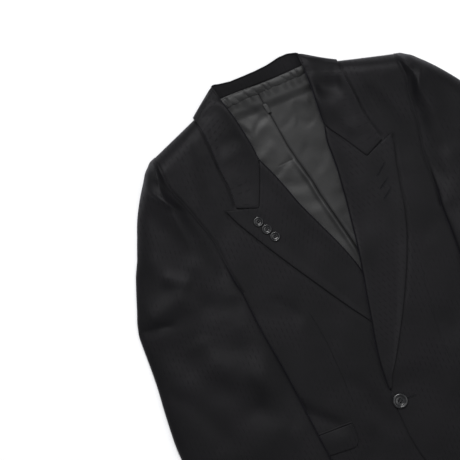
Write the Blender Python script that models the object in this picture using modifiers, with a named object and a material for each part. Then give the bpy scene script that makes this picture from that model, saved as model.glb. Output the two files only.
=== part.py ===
"""A single-breasted, peak-lapel cropped blazer, laid flat on its back and buttoned once.

Metres, +Z up. The garment lies on the plane z = 0 with its collar towards +Y and its hem towards -Y. The origin is on
the underside of the back panel, on the centre line. Every cut piece is one object: a thin shell of cloth with its
neighbours 0.3 to 0.5 mm away. Lengths in the tables are millimetres, and MM turns them into metres.

Left and right are the wearer's. The wearer's right side lies at -X. Tables give one half of the garment: "out" is the
distance from the centre line on the piece's own side, and "y" runs up the garment.
"""

import math

import bmesh
import bpy
from mathutils import Vector

MM = 0.001
RIGHT, LEFT = -1, 1  # the wearer's right lies at -X

# Cloth and seams
BODY_CLOTH = 2.0
LINING_CLOTH = 1.0
COLLAR_CLOTH = 1.9
FLAP_CLOTH = 1.8
SEAM = 0.4  # between pieces that are sewn edge to edge
REST = 0.6  # between a piece and the panel that it lies on
RIM = 2.4  # the lowest point of an upper layer, just over the lower layer's 2 mm

# The lie of the garment on its surface
SHOULDER_ROLL = 26.0  # how far in from the shoulder seam the front becomes flat
SIDE_ROLL = 20.0
NECK_LIFT = 3.0  # the back panel rises this much over the fall of the collar
LIFT_LEAD = 4.0  # an upper layer starts to rise this much earlier

# How far askew the garment was laid: y, shift of x, rise of the wearer's right side, which the left side sinks by
ASKEW = (
    (125.0, 0.0, 0.0),
    (150.0, 1.0, -3.0),
    (180.0, -0.5, -3.6),
    (215.0, -4.0, -4.0),
    (250.0, -4.4, -1.0),
    (280.0, -5.6, 2.0),
    (310.0, -8.8, 3.8),
    (345.0, -11.8, 5.1),
)
# The collar's fold round the back of the neck is not straight: x, how much further up it lies
NECK_WAVE = (
    (-66.0, -0.5),
    (-57.0, -3.0),
    (-40.0, -5.2),
    (-20.0, -4.0),
    (0.0, -2.0),
    (20.0, 0.8),
    (40.0, 5.2),
    (54.0, 5.4),
    (68.0, 1.5),
)

# Fittings
FRONT_BUTTON = {"across": 23.0, "thick": 3.6, "x": -13.0, "y": -204.0, "holes": 2.9}
LAPEL_BUTTON = {"across": 15.0, "thick": 3.0, "holes": 2.1}
LAPEL_BUTTONS = ((-98.0, 127.0), (-91.0, 111.5), (-84.0, 96.5))
HOLE_ACROSS = 1.6

# Height of the front's upper face: y, near the centre, near the shoulder or side
FRONT_HEIGHT = (
    (-341.0, 12.4, 12.8),
    (-200.0, 13.4, 14.2),
    (0.0, 14.2, 15.4),
    (100.0, 15.0, 18.0),
    (160.0, 16.2, 21.5),
    (210.0, 17.5, 25.5),
    (250.0, 20.0, 29.0),
    (315.0, 22.0, 31.0),
)

# Large soft folds of the fronts: x, y at each end, depth, width
FRONT_FOLDS = (
    (-187.0, -118.0, -106.0, -211.0, 2.2, 14.0),
    (-72.5, -136.0, -37.5, -242.0, 1.8, 15.0),
    (-134.0, 255.0, -146.0, 120.0, 2.0, 20.0),
    (134.0, 250.0, 148.0, 118.0, 2.0, 20.0),
    (168.0, -58.0, 96.0, -150.0, 2.2, 20.0),
    (66.0, -230.0, 150.0, -300.0, 1.6, 22.0),
    (-58.0, -232.0, -140.0, -304.0, 1.6, 22.0),
)

# Large soft folds of the sleeves: out, y at each end, depth, width
SLEEVE_FOLDS = (
    (350.0, 45.0, 258.0, 36.0, 3.2, 11.0),
    (244.0, 222.0, 204.0, 96.0, 2.4, 20.0),
    (300.0, 10.0, 236.0, -96.0, 2.6, 22.0),
    (196.0, -20.0, 216.0, -150.0, 2.2, 20.0),
    (300.0, -190.0, 250.0, -290.0, 2.0, 20.0),
)

# The side seam and the front armhole, from hem to shoulder: out, y
SIDE_AND_ARMHOLE = (
    (246.0, -337.5),
    (245.5, -334.0),
    (245.0, -326.0),
    (244.0, -312.0),
    (241.0, -288.0),
    (236.0, -250.0),
    (228.5, -195.0),
    (227.6, -185.0),
    (224.5, -140.0),
    (224.5, -92.0),
    (230.0, -45.0),
    (238.0, 0.0),
    (240.0, 30.0),
    (205.0, 32.0),
    (180.0, 34.0),
    (163.0, 38.0),
    (167.3, 82.0),
    (169.3, 118.0),
    (179.3, 164.0),
    (187.2, 203.0),
    (195.6, 235.0),
    (195.5, 252.0),
    (195.3, 262.5),
    (195.1, 269.5),
    (195.0, 273.8),
    (195.0, 275.6),
)

# Rows of the front: where its free edge ends and its roll line starts, the underarm, and where its neckline starts
BREAK_ROW, UNDERARM_ROW, NECKLINE_ROW = 6, 12, 20

# The neckline of the front, from the gorge up to the shoulder seam: out, y
NECKLINE = ((66.3, 236.0), (74.5, 262.0), (83.5, 285.0), (87.5, 297.0), (89.3, 305.0), (90.0, 310.5))

# Front edge from the hem up, then roll line up to the gorge: out, y
UNDER_EDGE = (
    (38.0, -341.0),
    (22.0, -339.0),
    (6.0, -331.0),
    (-8.0, -315.0),
    (-17.0, -288.0),
    (-21.0, -250.0),
    (-22.0, -195.0),
    (-22.3, -185.0),
    (-23.5, -140.0),
    (-23.5, -92.0),
    (-20.5, -45.0),
    (-13.0, 0.0),
    (-9.0, 15.0),
    (-5.0, 31.0),
    (-0.5, 46.0),
    (6.0, 65.0),
    (14.0, 84.0),
    (24.0, 110.0),
    (38.0, 152.0),
    (47.4, 189.5),
)
OVER_EDGE = (
    (38.0, -341.0),
    (22.0, -339.0),
    (6.0, -331.0),
    (-8.0, -315.0),
    (-17.0, -288.0),
    (-21.0, -245.0),
    (-21.5, -192.0),
    (-21.5, -185.0),
    (-17.5, -145.0),
    (-7.5, -92.0),
    (4.5, -42.0),
    (15.0, 1.0),
    (18.0, 15.0),
    (21.5, 31.0),
    (24.5, 46.0),
    (28.0, 65.0),
    (31.5, 84.0),
    (36.0, 110.0),
    (40.5, 152.0),
    (45.5, 188.5),
)
GORGE_TOP = (54.5, 214.5)
GORGE_END = (89.5, 147.6)

# Lapels from the gorge down to the break: roll out, roll y, edge out, edge y, how much the row still bends to the gorge
UNDER_LAPEL = (
    (54.5, 214.5, 135.5, 163.5, 1.00),
    (51.0, 202.0, 133.0, 153.5, 0.80),
    (47.4, 189.5, 128.6, 141.5, 0.60),
    (41.5, 166.0, 121.5, 127.0, 0.38),
    (34.0, 138.0, 112.5, 109.5, 0.20),
    (24.0, 110.0, 103.0, 91.5, 0.08),
    (14.0, 84.0, 91.0, 69.5, 0.0),
    (-0.5, 46.0, 72.0, 36.0, 0.0),
    (-13.0, 3.0, 50.0, -2.0, 0.0),
    (-20.0, -42.0, 25.0, -44.0, 0.0),
    (-23.0, -84.0, 2.0, -81.0, 0.0),
    (-23.5, -115.0, -12.0, -112.0, 0.0),
    (-23.5, -138.0, -19.0, -136.0, 0.0),
)
OVER_LAPEL = (
    (54.5, 214.5, 135.5, 163.5, 1.00),
    (49.5, 202.0, 134.2, 152.5, 0.80),
    (45.5, 188.5, 131.2, 141.0, 0.60),
    (42.8, 166.0, 126.5, 126.0, 0.38),
    (39.5, 138.0, 121.5, 106.5, 0.20),
    (36.0, 110.0, 116.5, 86.0, 0.08),
    (31.0, 81.0, 111.0, 62.0, 0.0),
    (24.0, 42.0, 99.5, 26.0, 0.0),
    (15.0, 1.0, 83.0, -11.5, 0.0),
    (5.5, -38.0, 64.5, -47.5, 0.0),
    (-4.0, -78.0, 44.0, -84.0, 0.0),
    (-12.0, -110.0, 26.0, -113.0, 0.0),
    (-18.0, -143.0, 6.0, -144.0, 0.0),
    (-20.3, -165.0, -9.5, -166.0, 0.0),
    (-21.4, -181.0, -16.5, -181.0, 0.0),
)
RIM_COLUMN = 2.0  # past 1, a column turns straight down to the rim
GORGE_SHARE = 0.6  # how far along the top of a lapel the gorge ends

# Half of the collar where it lies on the front, from the gorge up: neck seam, fold and free edge as out, y, and how
# much the section still bends to the gorge
COLLAR = (
    {"seam": (56.6, 219.0), "fold": (54.9, 216.0), "edge": (120.2, 161.6), "bend": 1.0},
    {"seam": (60.5, 230.5), "fold": (55.1, 227.0), "edge": (118.0, 175.5), "bend": 0.72},
    {"seam": (66.0, 244.0), "fold": (56.0, 240.0), "edge": (114.2, 200.0), "bend": 0.42},
    {"seam": (73.6, 262.5), "fold": (58.2, 259.0), "edge": (114.3, 226.0), "bend": 0.2},
    {"seam": (80.0, 278.5), "fold": (60.4, 277.0), "edge": (113.3, 250.0), "bend": 0.08},
    {"seam": (84.9, 291.5), "fold": (62.6, 293.0), "edge": (112.5, 272.0), "bend": 0.0},
    {"seam": (87.0, 299.0), "fold": (64.6, 307.0), "edge": (113.0, 286.0), "bend": 0.0},
)


def lerp(a, b, t):
    return a + (b - a) * t


def ease(t):
    t = min(max(t, 0.0), 1.0)
    return t * t * (3 - 2 * t)


def rounded(distance, radius):
    """0 at an edge and 1 from radius inwards, as a quarter of an ellipse."""
    t = min(max(distance / radius, 0.0), 1.0)
    return math.sqrt(1 - (1 - t) ** 2)


def look_up(table, key, column):
    """The value of a column at key, in straight steps between rows that rise in their first column."""
    if key <= table[0][0]:
        return table[0][column]
    for low, high in zip(table, table[1:]):
        if key <= high[0]:
            return lerp(low[column], high[column], (key - low[0]) / (high[0] - low[0]))
    return table[-1][column]


def skew(x, y):
    """Where a point of the symmetric garment lies, its neck pushed a little to the wearer's right."""
    shift, tilt = look_up(ASKEW, y, 1), look_up(ASKEW, y, 2)
    wave = look_up(NECK_WAVE, x, 1) * ease((y - 314) / 20)
    return x + shift, y - tilt * math.tanh(x / 45) + wave


def laid(x, y, z):
    return Vector((*skew(x, y), z)) * MM


# Heights


def side_out(y):
    return look_up([(row[1], row[0]) for row in SIDE_AND_ARMHOLE[:UNDERARM_ROW + 1]], y, 1)


def shoulder_y(out):
    """The shoulder seam, from the neck at 90 mm out to the sleeve at 195 mm."""
    return lerp(310.5, 275.6, (out - 90.0) / 105.0)


def neck_lift(out, y):
    return NECK_LIFT * ease((y - 279.0) / 12.0) * ease((136.0 - out) / 14.0)


def flat_height(out, y):
    """The front's upper face, before it rolls down at the shoulder and the side."""
    share = ease((out - 60.0) / 140.0)
    return lerp(look_up(FRONT_HEIGHT, y, 1), look_up(FRONT_HEIGHT, y, 2), share)


def fold_depth(folds, x, y):
    """How far the soft folds sink the cloth at a point."""
    sunk = 0.0
    for x0, y0, x1, y1, depth, width in folds:
        length = math.hypot(x1 - x0, y1 - y0)
        along = ((x - x0) * (x1 - x0) + (y - y0) * (y1 - y0)) / length**2
        across = ((x - x0) * (y1 - y0) - (y - y0) * (x1 - x0)) / length
        ends = ease((along + 0.15) / 0.35) * ease((1.15 - along) / 0.35)
        sunk += depth * ends * math.exp(-((across / width) ** 2))
    return sunk


def body_height(x, y):
    """The upper face of a single front."""
    out = abs(x)
    low = RIM + 2 * SEAM + neck_lift(out - LIFT_LEAD, y + LIFT_LEAD)
    shoulder = rounded((shoulder_y(out) - y) * 0.95, SHOULDER_ROLL)
    side = rounded(side_out(y) - out, SIDE_ROLL)
    return low + (flat_height(out, y) - fold_depth(FRONT_FOLDS, x, y) - low) * min(shoulder, side)


def over_lift(x, y):
    """How much the over front rises where it lies on the under front and its lapel."""
    across = ease((88.0 - x) / 66.0)
    front = (BODY_CLOTH + REST) * ease((75.0 - y) / 60.0)
    lapel = (BODY_CLOTH + REST) * ease((72.0 - y) / 60.0) * ease((y + 188.0) / 34.0)
    return across * (front + lapel)


def front_height(side, x, y):
    return body_height(x, y) + (over_lift(x, y) if side == LEFT else 0.0)


def pocket_rise(out, y):
    """What the pocket flap adds under the sleeve."""
    return (FLAP_CLOTH + 2 * REST) * ease((out - 70) / 20) * ease((y + 262) / 18) * ease((-176 - y) / 18)


def sleeve_rest(out, y):
    """What the under sleeve lies on: the body, and the floor beyond its side."""
    over_side = ease((side_out(y) + 36.0 - out) / 34.0)
    over_front = ease((60.0 - y) / 24.0)
    return (flat_height(out, y) + pocket_rise(out, y) + 2 * SEAM) * over_side * over_front


# Making pieces


def finish(name, colour, roughness):
    material = bpy.data.materials.new(name)
    material.use_nodes = True
    shader = material.node_tree.nodes["Principled BSDF"]
    shader.inputs["Base Color"].default_value = (*colour, 1.0)
    shader.inputs["Roughness"].default_value = roughness
    shader.inputs["Metallic"].default_value = 0.0
    material.diffuse_color = (*colour, 1.0)
    return material


def add_object(name, mesh, material):
    piece = bpy.data.objects.new(name, mesh)
    blazer.objects.link(piece)
    mesh.materials.append(material)
    return piece


def panel(name, point, us, vs, cloth, material, upper=True):
    """A shell of cloth. point(u, v) places the face that is mapped, which is its upper face unless upper is False."""
    bm = bmesh.new()
    bmesh.ops.create_grid(bm, x_segments=len(us) - 1, y_segments=len(vs) - 1, size=0.5)
    for vert in bm.verts:
        i = round((vert.co.x + 0.5) * (len(us) - 1))
        j = round((vert.co.y + 0.5) * (len(vs) - 1))
        vert.co = point(us[i], vs[j])
    bm.normal_update()
    facing = sum(face.normal.z * face.calc_area() for face in bm.faces)
    if (facing > 0) != upper:
        bmesh.ops.reverse_faces(bm, faces=bm.faces)
    mesh = bpy.data.meshes.new(name)
    bm.to_mesh(mesh)
    bm.free()
    mesh.shade_smooth()
    piece = add_object(name, mesh, material)
    shell = piece.modifiers.new("cloth thickness", "SOLIDIFY")
    shell.thickness = cloth * MM
    shell.offset = -1.0
    return piece


def steps(count):
    return [i / count for i in range(count + 1)]


# Cut pieces


def back_out(y):
    """Half the width of the back panel."""
    armhole = ((30.0, 240.0), (50.0, 212.0), (82.0, 191.0), (118.0, 181.0), (160.0, 179.0), (203.0, 183.0))
    top = ((235.0, 190.0), (258.0, 194.5), (275.6, 195.0), (310.5, 90.0))
    if y <= 30.0:
        return side_out(y)
    return look_up(armhole + top, y, 1)


def make_back(material):
    ys = (-337.5, -288, -250, -195, -140, -92, -45, 0, 30, 50, 82, 118, 160, 203, 235, 258, 275.6)
    ys += (281, 286, 291, 297, 303, 310.5)
    us = [lerp(-1, 1, u) for u in steps(14)]

    def point(u, y):
        out = back_out(y)
        neck = 2.5 * ease((y - 303) / 8) * (1 - abs(u))
        return laid(u * out, y + neck, neck_lift(abs(u) * out, y))

    panel("back", point, us, ys, BODY_CLOTH, material, upper=False)


def centre_back(y):
    """The seam of the back lining, which lies a little off the centre line."""
    seam = ((-318.0, 8.0), (-60.0, 24.0), (32.0, 22.0), (81.0, 13.0), (128.5, 4.0), (189.0, -5.5), (283.0, -12.5))
    return look_up(seam, y, 1)


def make_lining(side, material):
    ys = (-318, -250, -140, -45, 0, 30, 50, 82, 118, 160, 203, 235, 258, 268, 275.6, 281, 286, 291, 297, 303, 309.5)

    def point(u, y):
        inner = centre_back(y) + side * 0.3
        outer = side * (back_out(y) - 7.0 - 6.0 * ease((y - 270) / 30))
        x = lerp(inner, outer, u)
        fold = 0.7 * ease(1 - u * 14) if side == RIGHT else 0.0
        neck = 2.5 * ease((y - 303) / 8) * (1 - u)
        lift = neck_lift(abs(x) - 4 * LIFT_LEAD, y + LIFT_LEAD)
        return laid(x, y + neck, BODY_CLOTH + SEAM + lift + LINING_CLOTH + fold)

    us = (0.0, 0.04, 0.1, 0.25, 0.45, 0.65, 0.85, 1.0)
    panel("back_lining_" + side_name(side), point, us, ys, LINING_CLOTH, material)


def side_name(side):
    return "right" if side == RIGHT else "left"


def make_front(side, material):
    edge = (UNDER_EDGE if side == RIGHT else OVER_EDGE) + NECKLINE
    rows = [inner + outer for inner, outer in zip(edge, SIDE_AND_ARMHOLE)]

    def point(u, v):
        inner_out, inner_y, outer_out, outer_y = rows[v]
        inside_roll = ease(v - BREAK_ROW) * ease(NECKLINE_ROW - v)
        inner_out += inside_roll * (COLLAR_CLOTH + 3 * SEAM)
        out = lerp(inner_out, outer_out - SEAM, min(u, 1.0))
        y = lerp(inner_y, outer_y, min(u, 1.0))
        z = front_height(side, side * out, y)
        if u > 1 and v <= UNDERARM_ROW:
            z = RIM
        elif u > 1:
            out += SEAM / 2
        return laid(side * out, y, z)

    us = (0.0, 0.06, 0.13, 0.21, 0.3, 0.39, 0.48, 0.57, 0.66, 0.75, 0.83, 0.9, 0.95, 0.985, 1.0, RIM_COLUMN)
    panel("front_" + side_name(side), point, us, range(len(rows)), BODY_CLOTH, material)


def bent_row(roll, edge, bend, top_edge, u):
    """A point of a row that runs from the roll line to a free edge, by way of the gorge where bend is 1."""
    top_x = lerp(GORGE_TOP[0], top_edge[0], GORGE_SHARE)
    top_y = lerp(GORGE_TOP[1], top_edge[1], GORGE_SHARE)
    middle_x = lerp(roll[0], edge[0], GORGE_SHARE) + bend * (GORGE_END[0] - top_x)
    middle_y = lerp(roll[1], edge[1], GORGE_SHARE) + bend * (GORGE_END[1] - top_y)
    if u < GORGE_SHARE:
        t = u / GORGE_SHARE
        return lerp(roll[0], middle_x, t), lerp(roll[1], middle_y, t)
    t = (u - GORGE_SHARE) / (1 - GORGE_SHARE)
    return lerp(middle_x, edge[0], t), lerp(middle_y, edge[1], t)


# The rolled edge of a lapel: distance in from the roll line, share of the way from the front's back face to the top
ROLLED_EDGE = ((0.0, 0.0), (0.0, 0.45), (0.5, 0.78), (1.8, 0.95), (4.5, 1.0))


def lapel_top(side, x, y, in_from_roll, puff):
    soft = puff * math.exp(-((in_from_roll / 16.0) ** 2))
    return front_height(side, x, y) + REST + COLLAR_CLOTH + soft


def lapel_puff(side, y):
    """The lapel's roll stands up softly, and is pressed flat where the over front covers it."""
    if side == RIGHT:
        return 2.4 * ease((y - 5.0) / 70.0)
    return 0.6 + 1.8 * ease((y + 170.0) / 80.0)


def make_lapel(side, material):
    rows = UNDER_LAPEL if side == RIGHT else OVER_LAPEL
    last = len(ROLLED_EDGE)
    us = [u - last for u in range(last)] + [0.1, 0.22, 0.34, 0.46, 0.58, 0.7, 0.82, 0.93, 1.0]

    def point(u, v):
        roll_out, roll_y, edge_out, edge_y, bend = rows[v]
        width = edge_out - roll_out
        narrow = min(1.0, 0.5 * width / ROLLED_EDGE[-1][0])
        in_from_roll, share = ROLLED_EDGE[u + last] if u < 0 else (ROLLED_EDGE[-1][0], 1.0)
        in_from_roll = lerp(in_from_roll * narrow, width, max(u, 0.0))
        seam = SEAM * max(0.0, 1 - v)
        out, y = bent_row((roll_out, roll_y), (edge_out, edge_y), bend, rows[0][2:4], in_from_roll / width)
        out, y = out - 0.3 * seam * bend, y - seam
        x = side * out
        top = lapel_top(side, x, y, in_from_roll, lapel_puff(side, y))
        low = front_height(side, x, y) - BODY_CLOTH
        return laid(x, y, lerp(low, top, share))

    panel("lapel_" + side_name(side), point, us, range(len(rows)), COLLAR_CLOTH, material)


def collar_section(row, side):
    """Points of one section, from the neck seam up the stand, round the fold and down to the free edge."""
    seam, fold, edge = row["seam"], row["fold"], row["edge"]
    found = []
    for share in (0.0, 0.5):
        out, y = lerp(seam[0], fold[0] + 2.0, share), lerp(seam[1], fold[1], share)
        found.append((side * out, y, body_height(side * out, y) - BODY_CLOTH))
    ground = body_height(side * fold[0], fold[1])
    top = REST + COLLAR_CLOTH + 2.0
    for inwards, share in ((1.6, 0.06), (0.0, 0.45), (0.7, 0.8), (2.6, 0.96)):
        z = lerp(ground - BODY_CLOTH, ground + top, share)
        found.append((side * (fold[0] + inwards), fold[1] - inwards * 0.4 * row["bend"], z))
    for share in (0.12, 0.3, 0.45, 0.6, 0.75, 0.9, 1.0):
        out, y = bent_row(fold, edge, row["bend"], COLLAR[0]["edge"], share)
        out, y = out + 0.3 * SEAM * row["bend"], y + SEAM * row["bend"]
        width = math.hypot(edge[0] - fold[0], edge[1] - fold[1])
        soft = 2.0 * math.exp(-((share * width / 16.0) ** 2))
        z = body_height(side * out, y) + REST + COLLAR_CLOTH + soft
        found.append((side * out, y, z))
    return found


# The collar round the shoulder seams and the back of the neck: out, y, z of the seam, the fold and three of the fall
COLLAR_WRAP = (
    ((88.0, 306.5, 9.0), (66.3, 320.0, 20.0), (78.0, 315.0, 23.5), (98.0, 308.0, 22.5), (114.5, 297.5, 21.0)),
    ((84.5, 312.0, 7.5), (67.5, 330.0, 18.0), (76.0, 326.5, 19.5), (95.0, 317.5, 17.0), (116.0, 303.8, 13.5)),
    ((78.0, 313.8, 6.2), (67.8, 336.0, 14.5), (74.5, 333.2, 11.5), (92.5, 321.2, 8.0), (116.0, 305.6, 5.0)),
    ((70.0, 314.4, 5.6), (65.0, 338.0, 12.5), (71.0, 333.5, 6.0), (90.0, 319.0, 0.6), (110.5, 305.2, 0.6)),
    ((58.0, 314.4, 5.2), (57.0, 338.0, 11.5), (60.5, 334.0, 4.0), (72.0, 315.5, 0.0), (88.0, 294.5, 0.0)),
    ((40.0, 314.4, 5.2), (40.0, 337.6, 11.0), (42.0, 334.0, 3.5), (48.0, 315.0, 0.0), (54.0, 293.5, 0.0)),
    ((20.0, 314.8, 5.2), (20.0, 337.2, 10.6), (21.0, 333.5, 3.2), (24.0, 315.0, 0.0), (27.0, 293.0, 0.0)),
    ((0.0, 315.0, 5.2), (0.0, 337.0, 10.5), (0.0, 333.5, 3.0), (0.0, 315.0, 0.0), (0.0, 293.0, 0.0)),
)


def wrapped_section(row, side):
    """Points of one section round the neck, as many as collar_section gives."""
    seam, fold, near, middle, edge = (Vector(p) for p in row)
    knots = [seam, seam.lerp(fold, 0.5), seam.lerp(fold, 0.86)]
    knots.append(fold + (fold - seam).normalized() * 0.4)
    knots.append(fold.lerp(near, 0.25))
    knots.append(fold.lerp(near, 0.6))
    knots.append(near)
    knots.append(near.lerp(middle, 0.5))
    knots.append(middle)
    knots += [middle.lerp(edge, t) for t in (0.33, 0.66, 0.88, 1.0)]
    return [(side * p.x, p.y, p.z) for p in knots]


def make_collar(material):
    half = []
    for side in (RIGHT, LEFT):
        rows = [collar_section(row, side) for row in COLLAR]
        rows += [wrapped_section(row, side) for row in COLLAR_WRAP]
        half.append(rows)
    sections = half[0] + half[1][-2::-1]

    def point(u, v):
        return laid(*sections[v][u])

    panel("collar", point, range(len(sections[0])), range(len(sections)), COLLAR_CLOTH, material)


# The upper sleeve from shoulder to cuff: inner out, inner y, outer out, outer y, arch, 0 sewn to the front or 1 folded
UPPER_SLEEVE = (
    (195.4, 276.2, 203.5, 273.6, 0.0, 0.0),
    (195.5, 274.2, 206.5, 271.8, 1.5, 0.0),
    (195.6, 270.0, 211.0, 268.0, 4.0, 0.0),
    (195.8, 262.5, 218.0, 262.5, 8.0, 0.0),
    (196.0, 252.0, 227.0, 251.5, 11.0, 0.0),
    (196.1, 235.0, 239.5, 236.0, 13.5, 0.0),
    (187.8, 203.0, 260.5, 205.0, 15.0, 0.0),
    (179.9, 164.0, 283.5, 161.0, 14.5, 0.0),
    (169.9, 118.0, 303.0, 117.0, 13.0, 0.1),
    (167.9, 82.0, 319.0, 77.0, 12.0, 0.35),
    (165.8, 60.0, 326.0, 60.0, 11.5, 0.7),
    (164.3, 50.0, 329.3, 49.0, 11.5, 0.85),
    (162.2, 38.0, 331.2, 41.0, 11.5, 1.0),
    (161.6, 26.0, 332.0, 31.0, 11.5, 1.0),
    (160.5, 5.0, 333.2, 12.0, 11.5, 1.0),
    (159.6, -12.0, 334.6, -10.0, 12.0, 1.0),
    (158.0, -33.0, 337.0, -38.0, 12.0, 1.0),
    (152.5, -85.0, 343.5, -88.0, 12.5, 1.0),
    (148.5, -140.0, 348.0, -143.0, 12.5, 1.0),
    (145.0, -200.0, 346.5, -200.0, 12.0, 1.0),
    (142.5, -245.0, 337.0, -243.0, 11.0, 1.0),
    (144.0, -285.0, 322.5, -285.0, 9.5, 1.0),
    (145.5, -308.0, 313.0, -311.0, 9.0, 1.0),
)

# The under sleeve: along the back armhole, the underarm and the inner fold: inner out, inner y, outer out, outer y
UNDER_SLEEVE = (
    (197.5, 274.5, 203.0, 273.0),
    (195.2, 258.0, 222.0, 257.5),
    (190.8, 235.0, 239.5, 236.0),
    (183.8, 203.0, 260.5, 205.0),
    (179.8, 160.0, 283.5, 161.0),
    (181.8, 118.0, 303.0, 117.0),
    (191.8, 82.5, 319.0, 77.0),
    (212.5, 51.0, 329.0, 50.0),
    (240.5, 29.0, 332.0, 32.0),
    (205.0, 30.5, 333.0, 12.0),
    (180.0, 32.0, 334.0, -8.0),
    (162.4, 34.0, 335.5, -25.0),
    (160.3, 0.0, 337.0, -45.0),
    (158.0, -33.0, 341.0, -70.0),
    (152.5, -85.0, 346.0, -115.0),
    (148.5, -140.0, 348.0, -160.0),
    (145.0, -200.0, 346.3, -203.0),
    (142.5, -245.0, 337.0, -243.0),
    (145.5, -307.5, 313.0, -310.5),
)


def make_upper_sleeve(side, material):
    def point(u, v):
        inner_out, inner_y, outer_out, outer_y, arch, folded = UPPER_SLEEVE[v]
        across = min(max(u, 0.0), 1.0)
        out, y = lerp(inner_out, outer_out, across), lerp(inner_y, outer_y, across)
        seam_z = front_height(side, side * (inner_out - 2 * SEAM), inner_y)
        fold_z = sleeve_rest(inner_out, min(inner_y, 36.0)) + REST + BODY_CLOTH + REST
        inner_z = lerp(seam_z, max(fold_z, seam_z), ease((96.0 - inner_y) / 60.0))
        if u < 0:
            return laid(side * (out - 0.3 * (1 - folded)), y, inner_z)
        if u > 1:
            return laid(side * out, y, RIM)
        outer_round = rounded(1 - across, 0.3)
        inner_round = lerp(ease(across / 0.3), rounded(across, 0.26), folded)
        level = lerp(inner_z + 1.4 * folded, RIM + 1.4, across ** lerp(1.5, 1.0, folded))
        rise = min(outer_round, inner_round)
        return laid(side * out, y, level + arch * rise - fold_depth(SLEEVE_FOLDS, out, y) * rise)

    us = (-1.0, 0.0, 0.03, 0.075, 0.15, 0.26, 0.38, 0.5, 0.62, 0.74, 0.84, 0.915, 0.965, 0.99, 1.0, RIM_COLUMN)
    vs = range(len(UPPER_SLEEVE))
    panel(f"sleeve_{side_name(side)}_upper", point, us, vs, BODY_CLOTH, material)


def make_under_sleeve(side, material):
    def point(u, v):
        inner_out, inner_y, outer_out, outer_y = UNDER_SLEEVE[v]
        out = lerp(inner_out + 0.6, outer_out - 0.8, u)
        y = lerp(inner_y, outer_y, u)
        return laid(side * out, y, sleeve_rest(out, y))

    us = (0.0, 0.1, 0.2, 0.3, 0.38, 0.44, 0.5, 0.56, 0.62, 0.7, 0.85, 1.0)
    vs = range(len(UNDER_SLEEVE))
    panel(f"sleeve_{side_name(side)}_under", point, us, vs, BODY_CLOTH, material, upper=False)


# Pocket flap, from its rounded front corner: out, lower edge y
FLAP = ((93.0, -224.0), (94.0, -231.0), (97.5, -237.0), (104.0, -240.0), (130.0, -237.5), (170.0, -233.5), (212.0, -229.0))


def make_flap(side, material):
    def point(u, v):
        out, low_y = FLAP[u]
        y = lerp(-206.0 + 0.06 * (out - 93.0), low_y, v)
        x = side * out
        return laid(x, y, front_height(side, x, y) + REST + FLAP_CLOTH)

    panel("pocket_flap_" + side_name(side), point, range(len(FLAP)), steps(4), FLAP_CLOTH, material)


# Buttons


def button_profile(across, thick):
    """Half of a button's section from its middle top, down its outer side, to its middle bottom: radius, height."""
    radius = across / 2
    return (
        (0.0, thick * 0.62),
        (radius * 0.52, thick * 0.66),
        (radius * 0.66, thick * 0.78),
        (radius * 0.82, thick),
        (radius * 0.95, thick * 0.93),
        (radius, thick * 0.68),
        (radius * 0.96, thick * 0.3),
        (radius * 0.8, 0.0),
        (0.0, 0.0),
    )


def make_button(name, x, y, z, size, material):
    mesh = bpy.data.meshes.new(name)
    profile = button_profile(size["across"], size["thick"])
    bm = bmesh.new()
    verts = [bm.verts.new((r * MM, 0.0, h * MM)) for r, h in profile]
    for a, b in zip(verts, verts[1:]):
        bm.edges.new((a, b))
    bm.to_mesh(mesh)
    bm.free()
    piece = add_object(name, mesh, material)
    piece.location = laid(x, y, z)
    turn = piece.modifiers.new("turned", "SCREW")
    turn.angle = math.tau
    turn.steps = turn.render_steps = 18
    turn.use_merge_vertices = True
    turn.merge_threshold = 0.00001
    spots = [(size["holes"] * cx / 2, size["holes"] * cy / 2) for cx in (-1, 1) for cy in (-1, 1)]
    for number, (cx, cy) in enumerate(spots):
        bpy.ops.mesh.primitive_cylinder_add(
            vertices=6, radius=HOLE_ACROSS / 2 * MM, depth=4 * size["thick"] * MM
        )
        hole = bpy.context.object
        hole.name = f"{name}_hole_{number + 1}"
        hole.location = piece.location + Vector((cx, cy, 0.0)) * MM
        hole.hide_render = True
        hole.display_type = "WIRE"
        for group in hole.users_collection:
            group.objects.unlink(hole)
        cutters.objects.link(hole)
        cut = piece.modifiers.new("thread hole", "BOOLEAN")
        cut.operation = "DIFFERENCE"
        cut.object = hole


def seat_height(surface, x, y, across):
    """The lowest level at which a flat button clears the cloth under it."""
    ring = [(0.0, 0.0)] + [(math.cos(a * math.tau / 8), math.sin(a * math.tau / 8)) for a in range(8)]
    return max(surface(x + c * across / 2, y + s * across / 2) for c, s in ring) + SEAM


def lapel_surface(x, y):
    return front_height(RIGHT, x, y) + REST + COLLAR_CLOTH + 0.3


for leftover in list(bpy.data.objects):
    bpy.data.objects.remove(leftover, do_unlink=True)

blazer = bpy.data.collections.new("cropped blazer")
cutters = bpy.data.collections.new("cutters")
cutters.hide_render = True
bpy.context.scene.collection.children.link(blazer)
bpy.context.scene.collection.children.link(cutters)

suiting = finish("black striped wool suiting", (0.012, 0.012, 0.015), 0.82)
satin = finish("charcoal satin lining", (0.05, 0.05, 0.052), 0.42)
plastic = finish("black four-hole button", (0.012, 0.012, 0.013), 0.3)

make_back(suiting)
for wearer_side in (RIGHT, LEFT):
    make_lining(wearer_side, satin)
    make_front(wearer_side, suiting)
    make_lapel(wearer_side, suiting)
    make_upper_sleeve(wearer_side, suiting)
    make_under_sleeve(wearer_side, suiting)
    make_flap(wearer_side, suiting)
make_collar(suiting)

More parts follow.
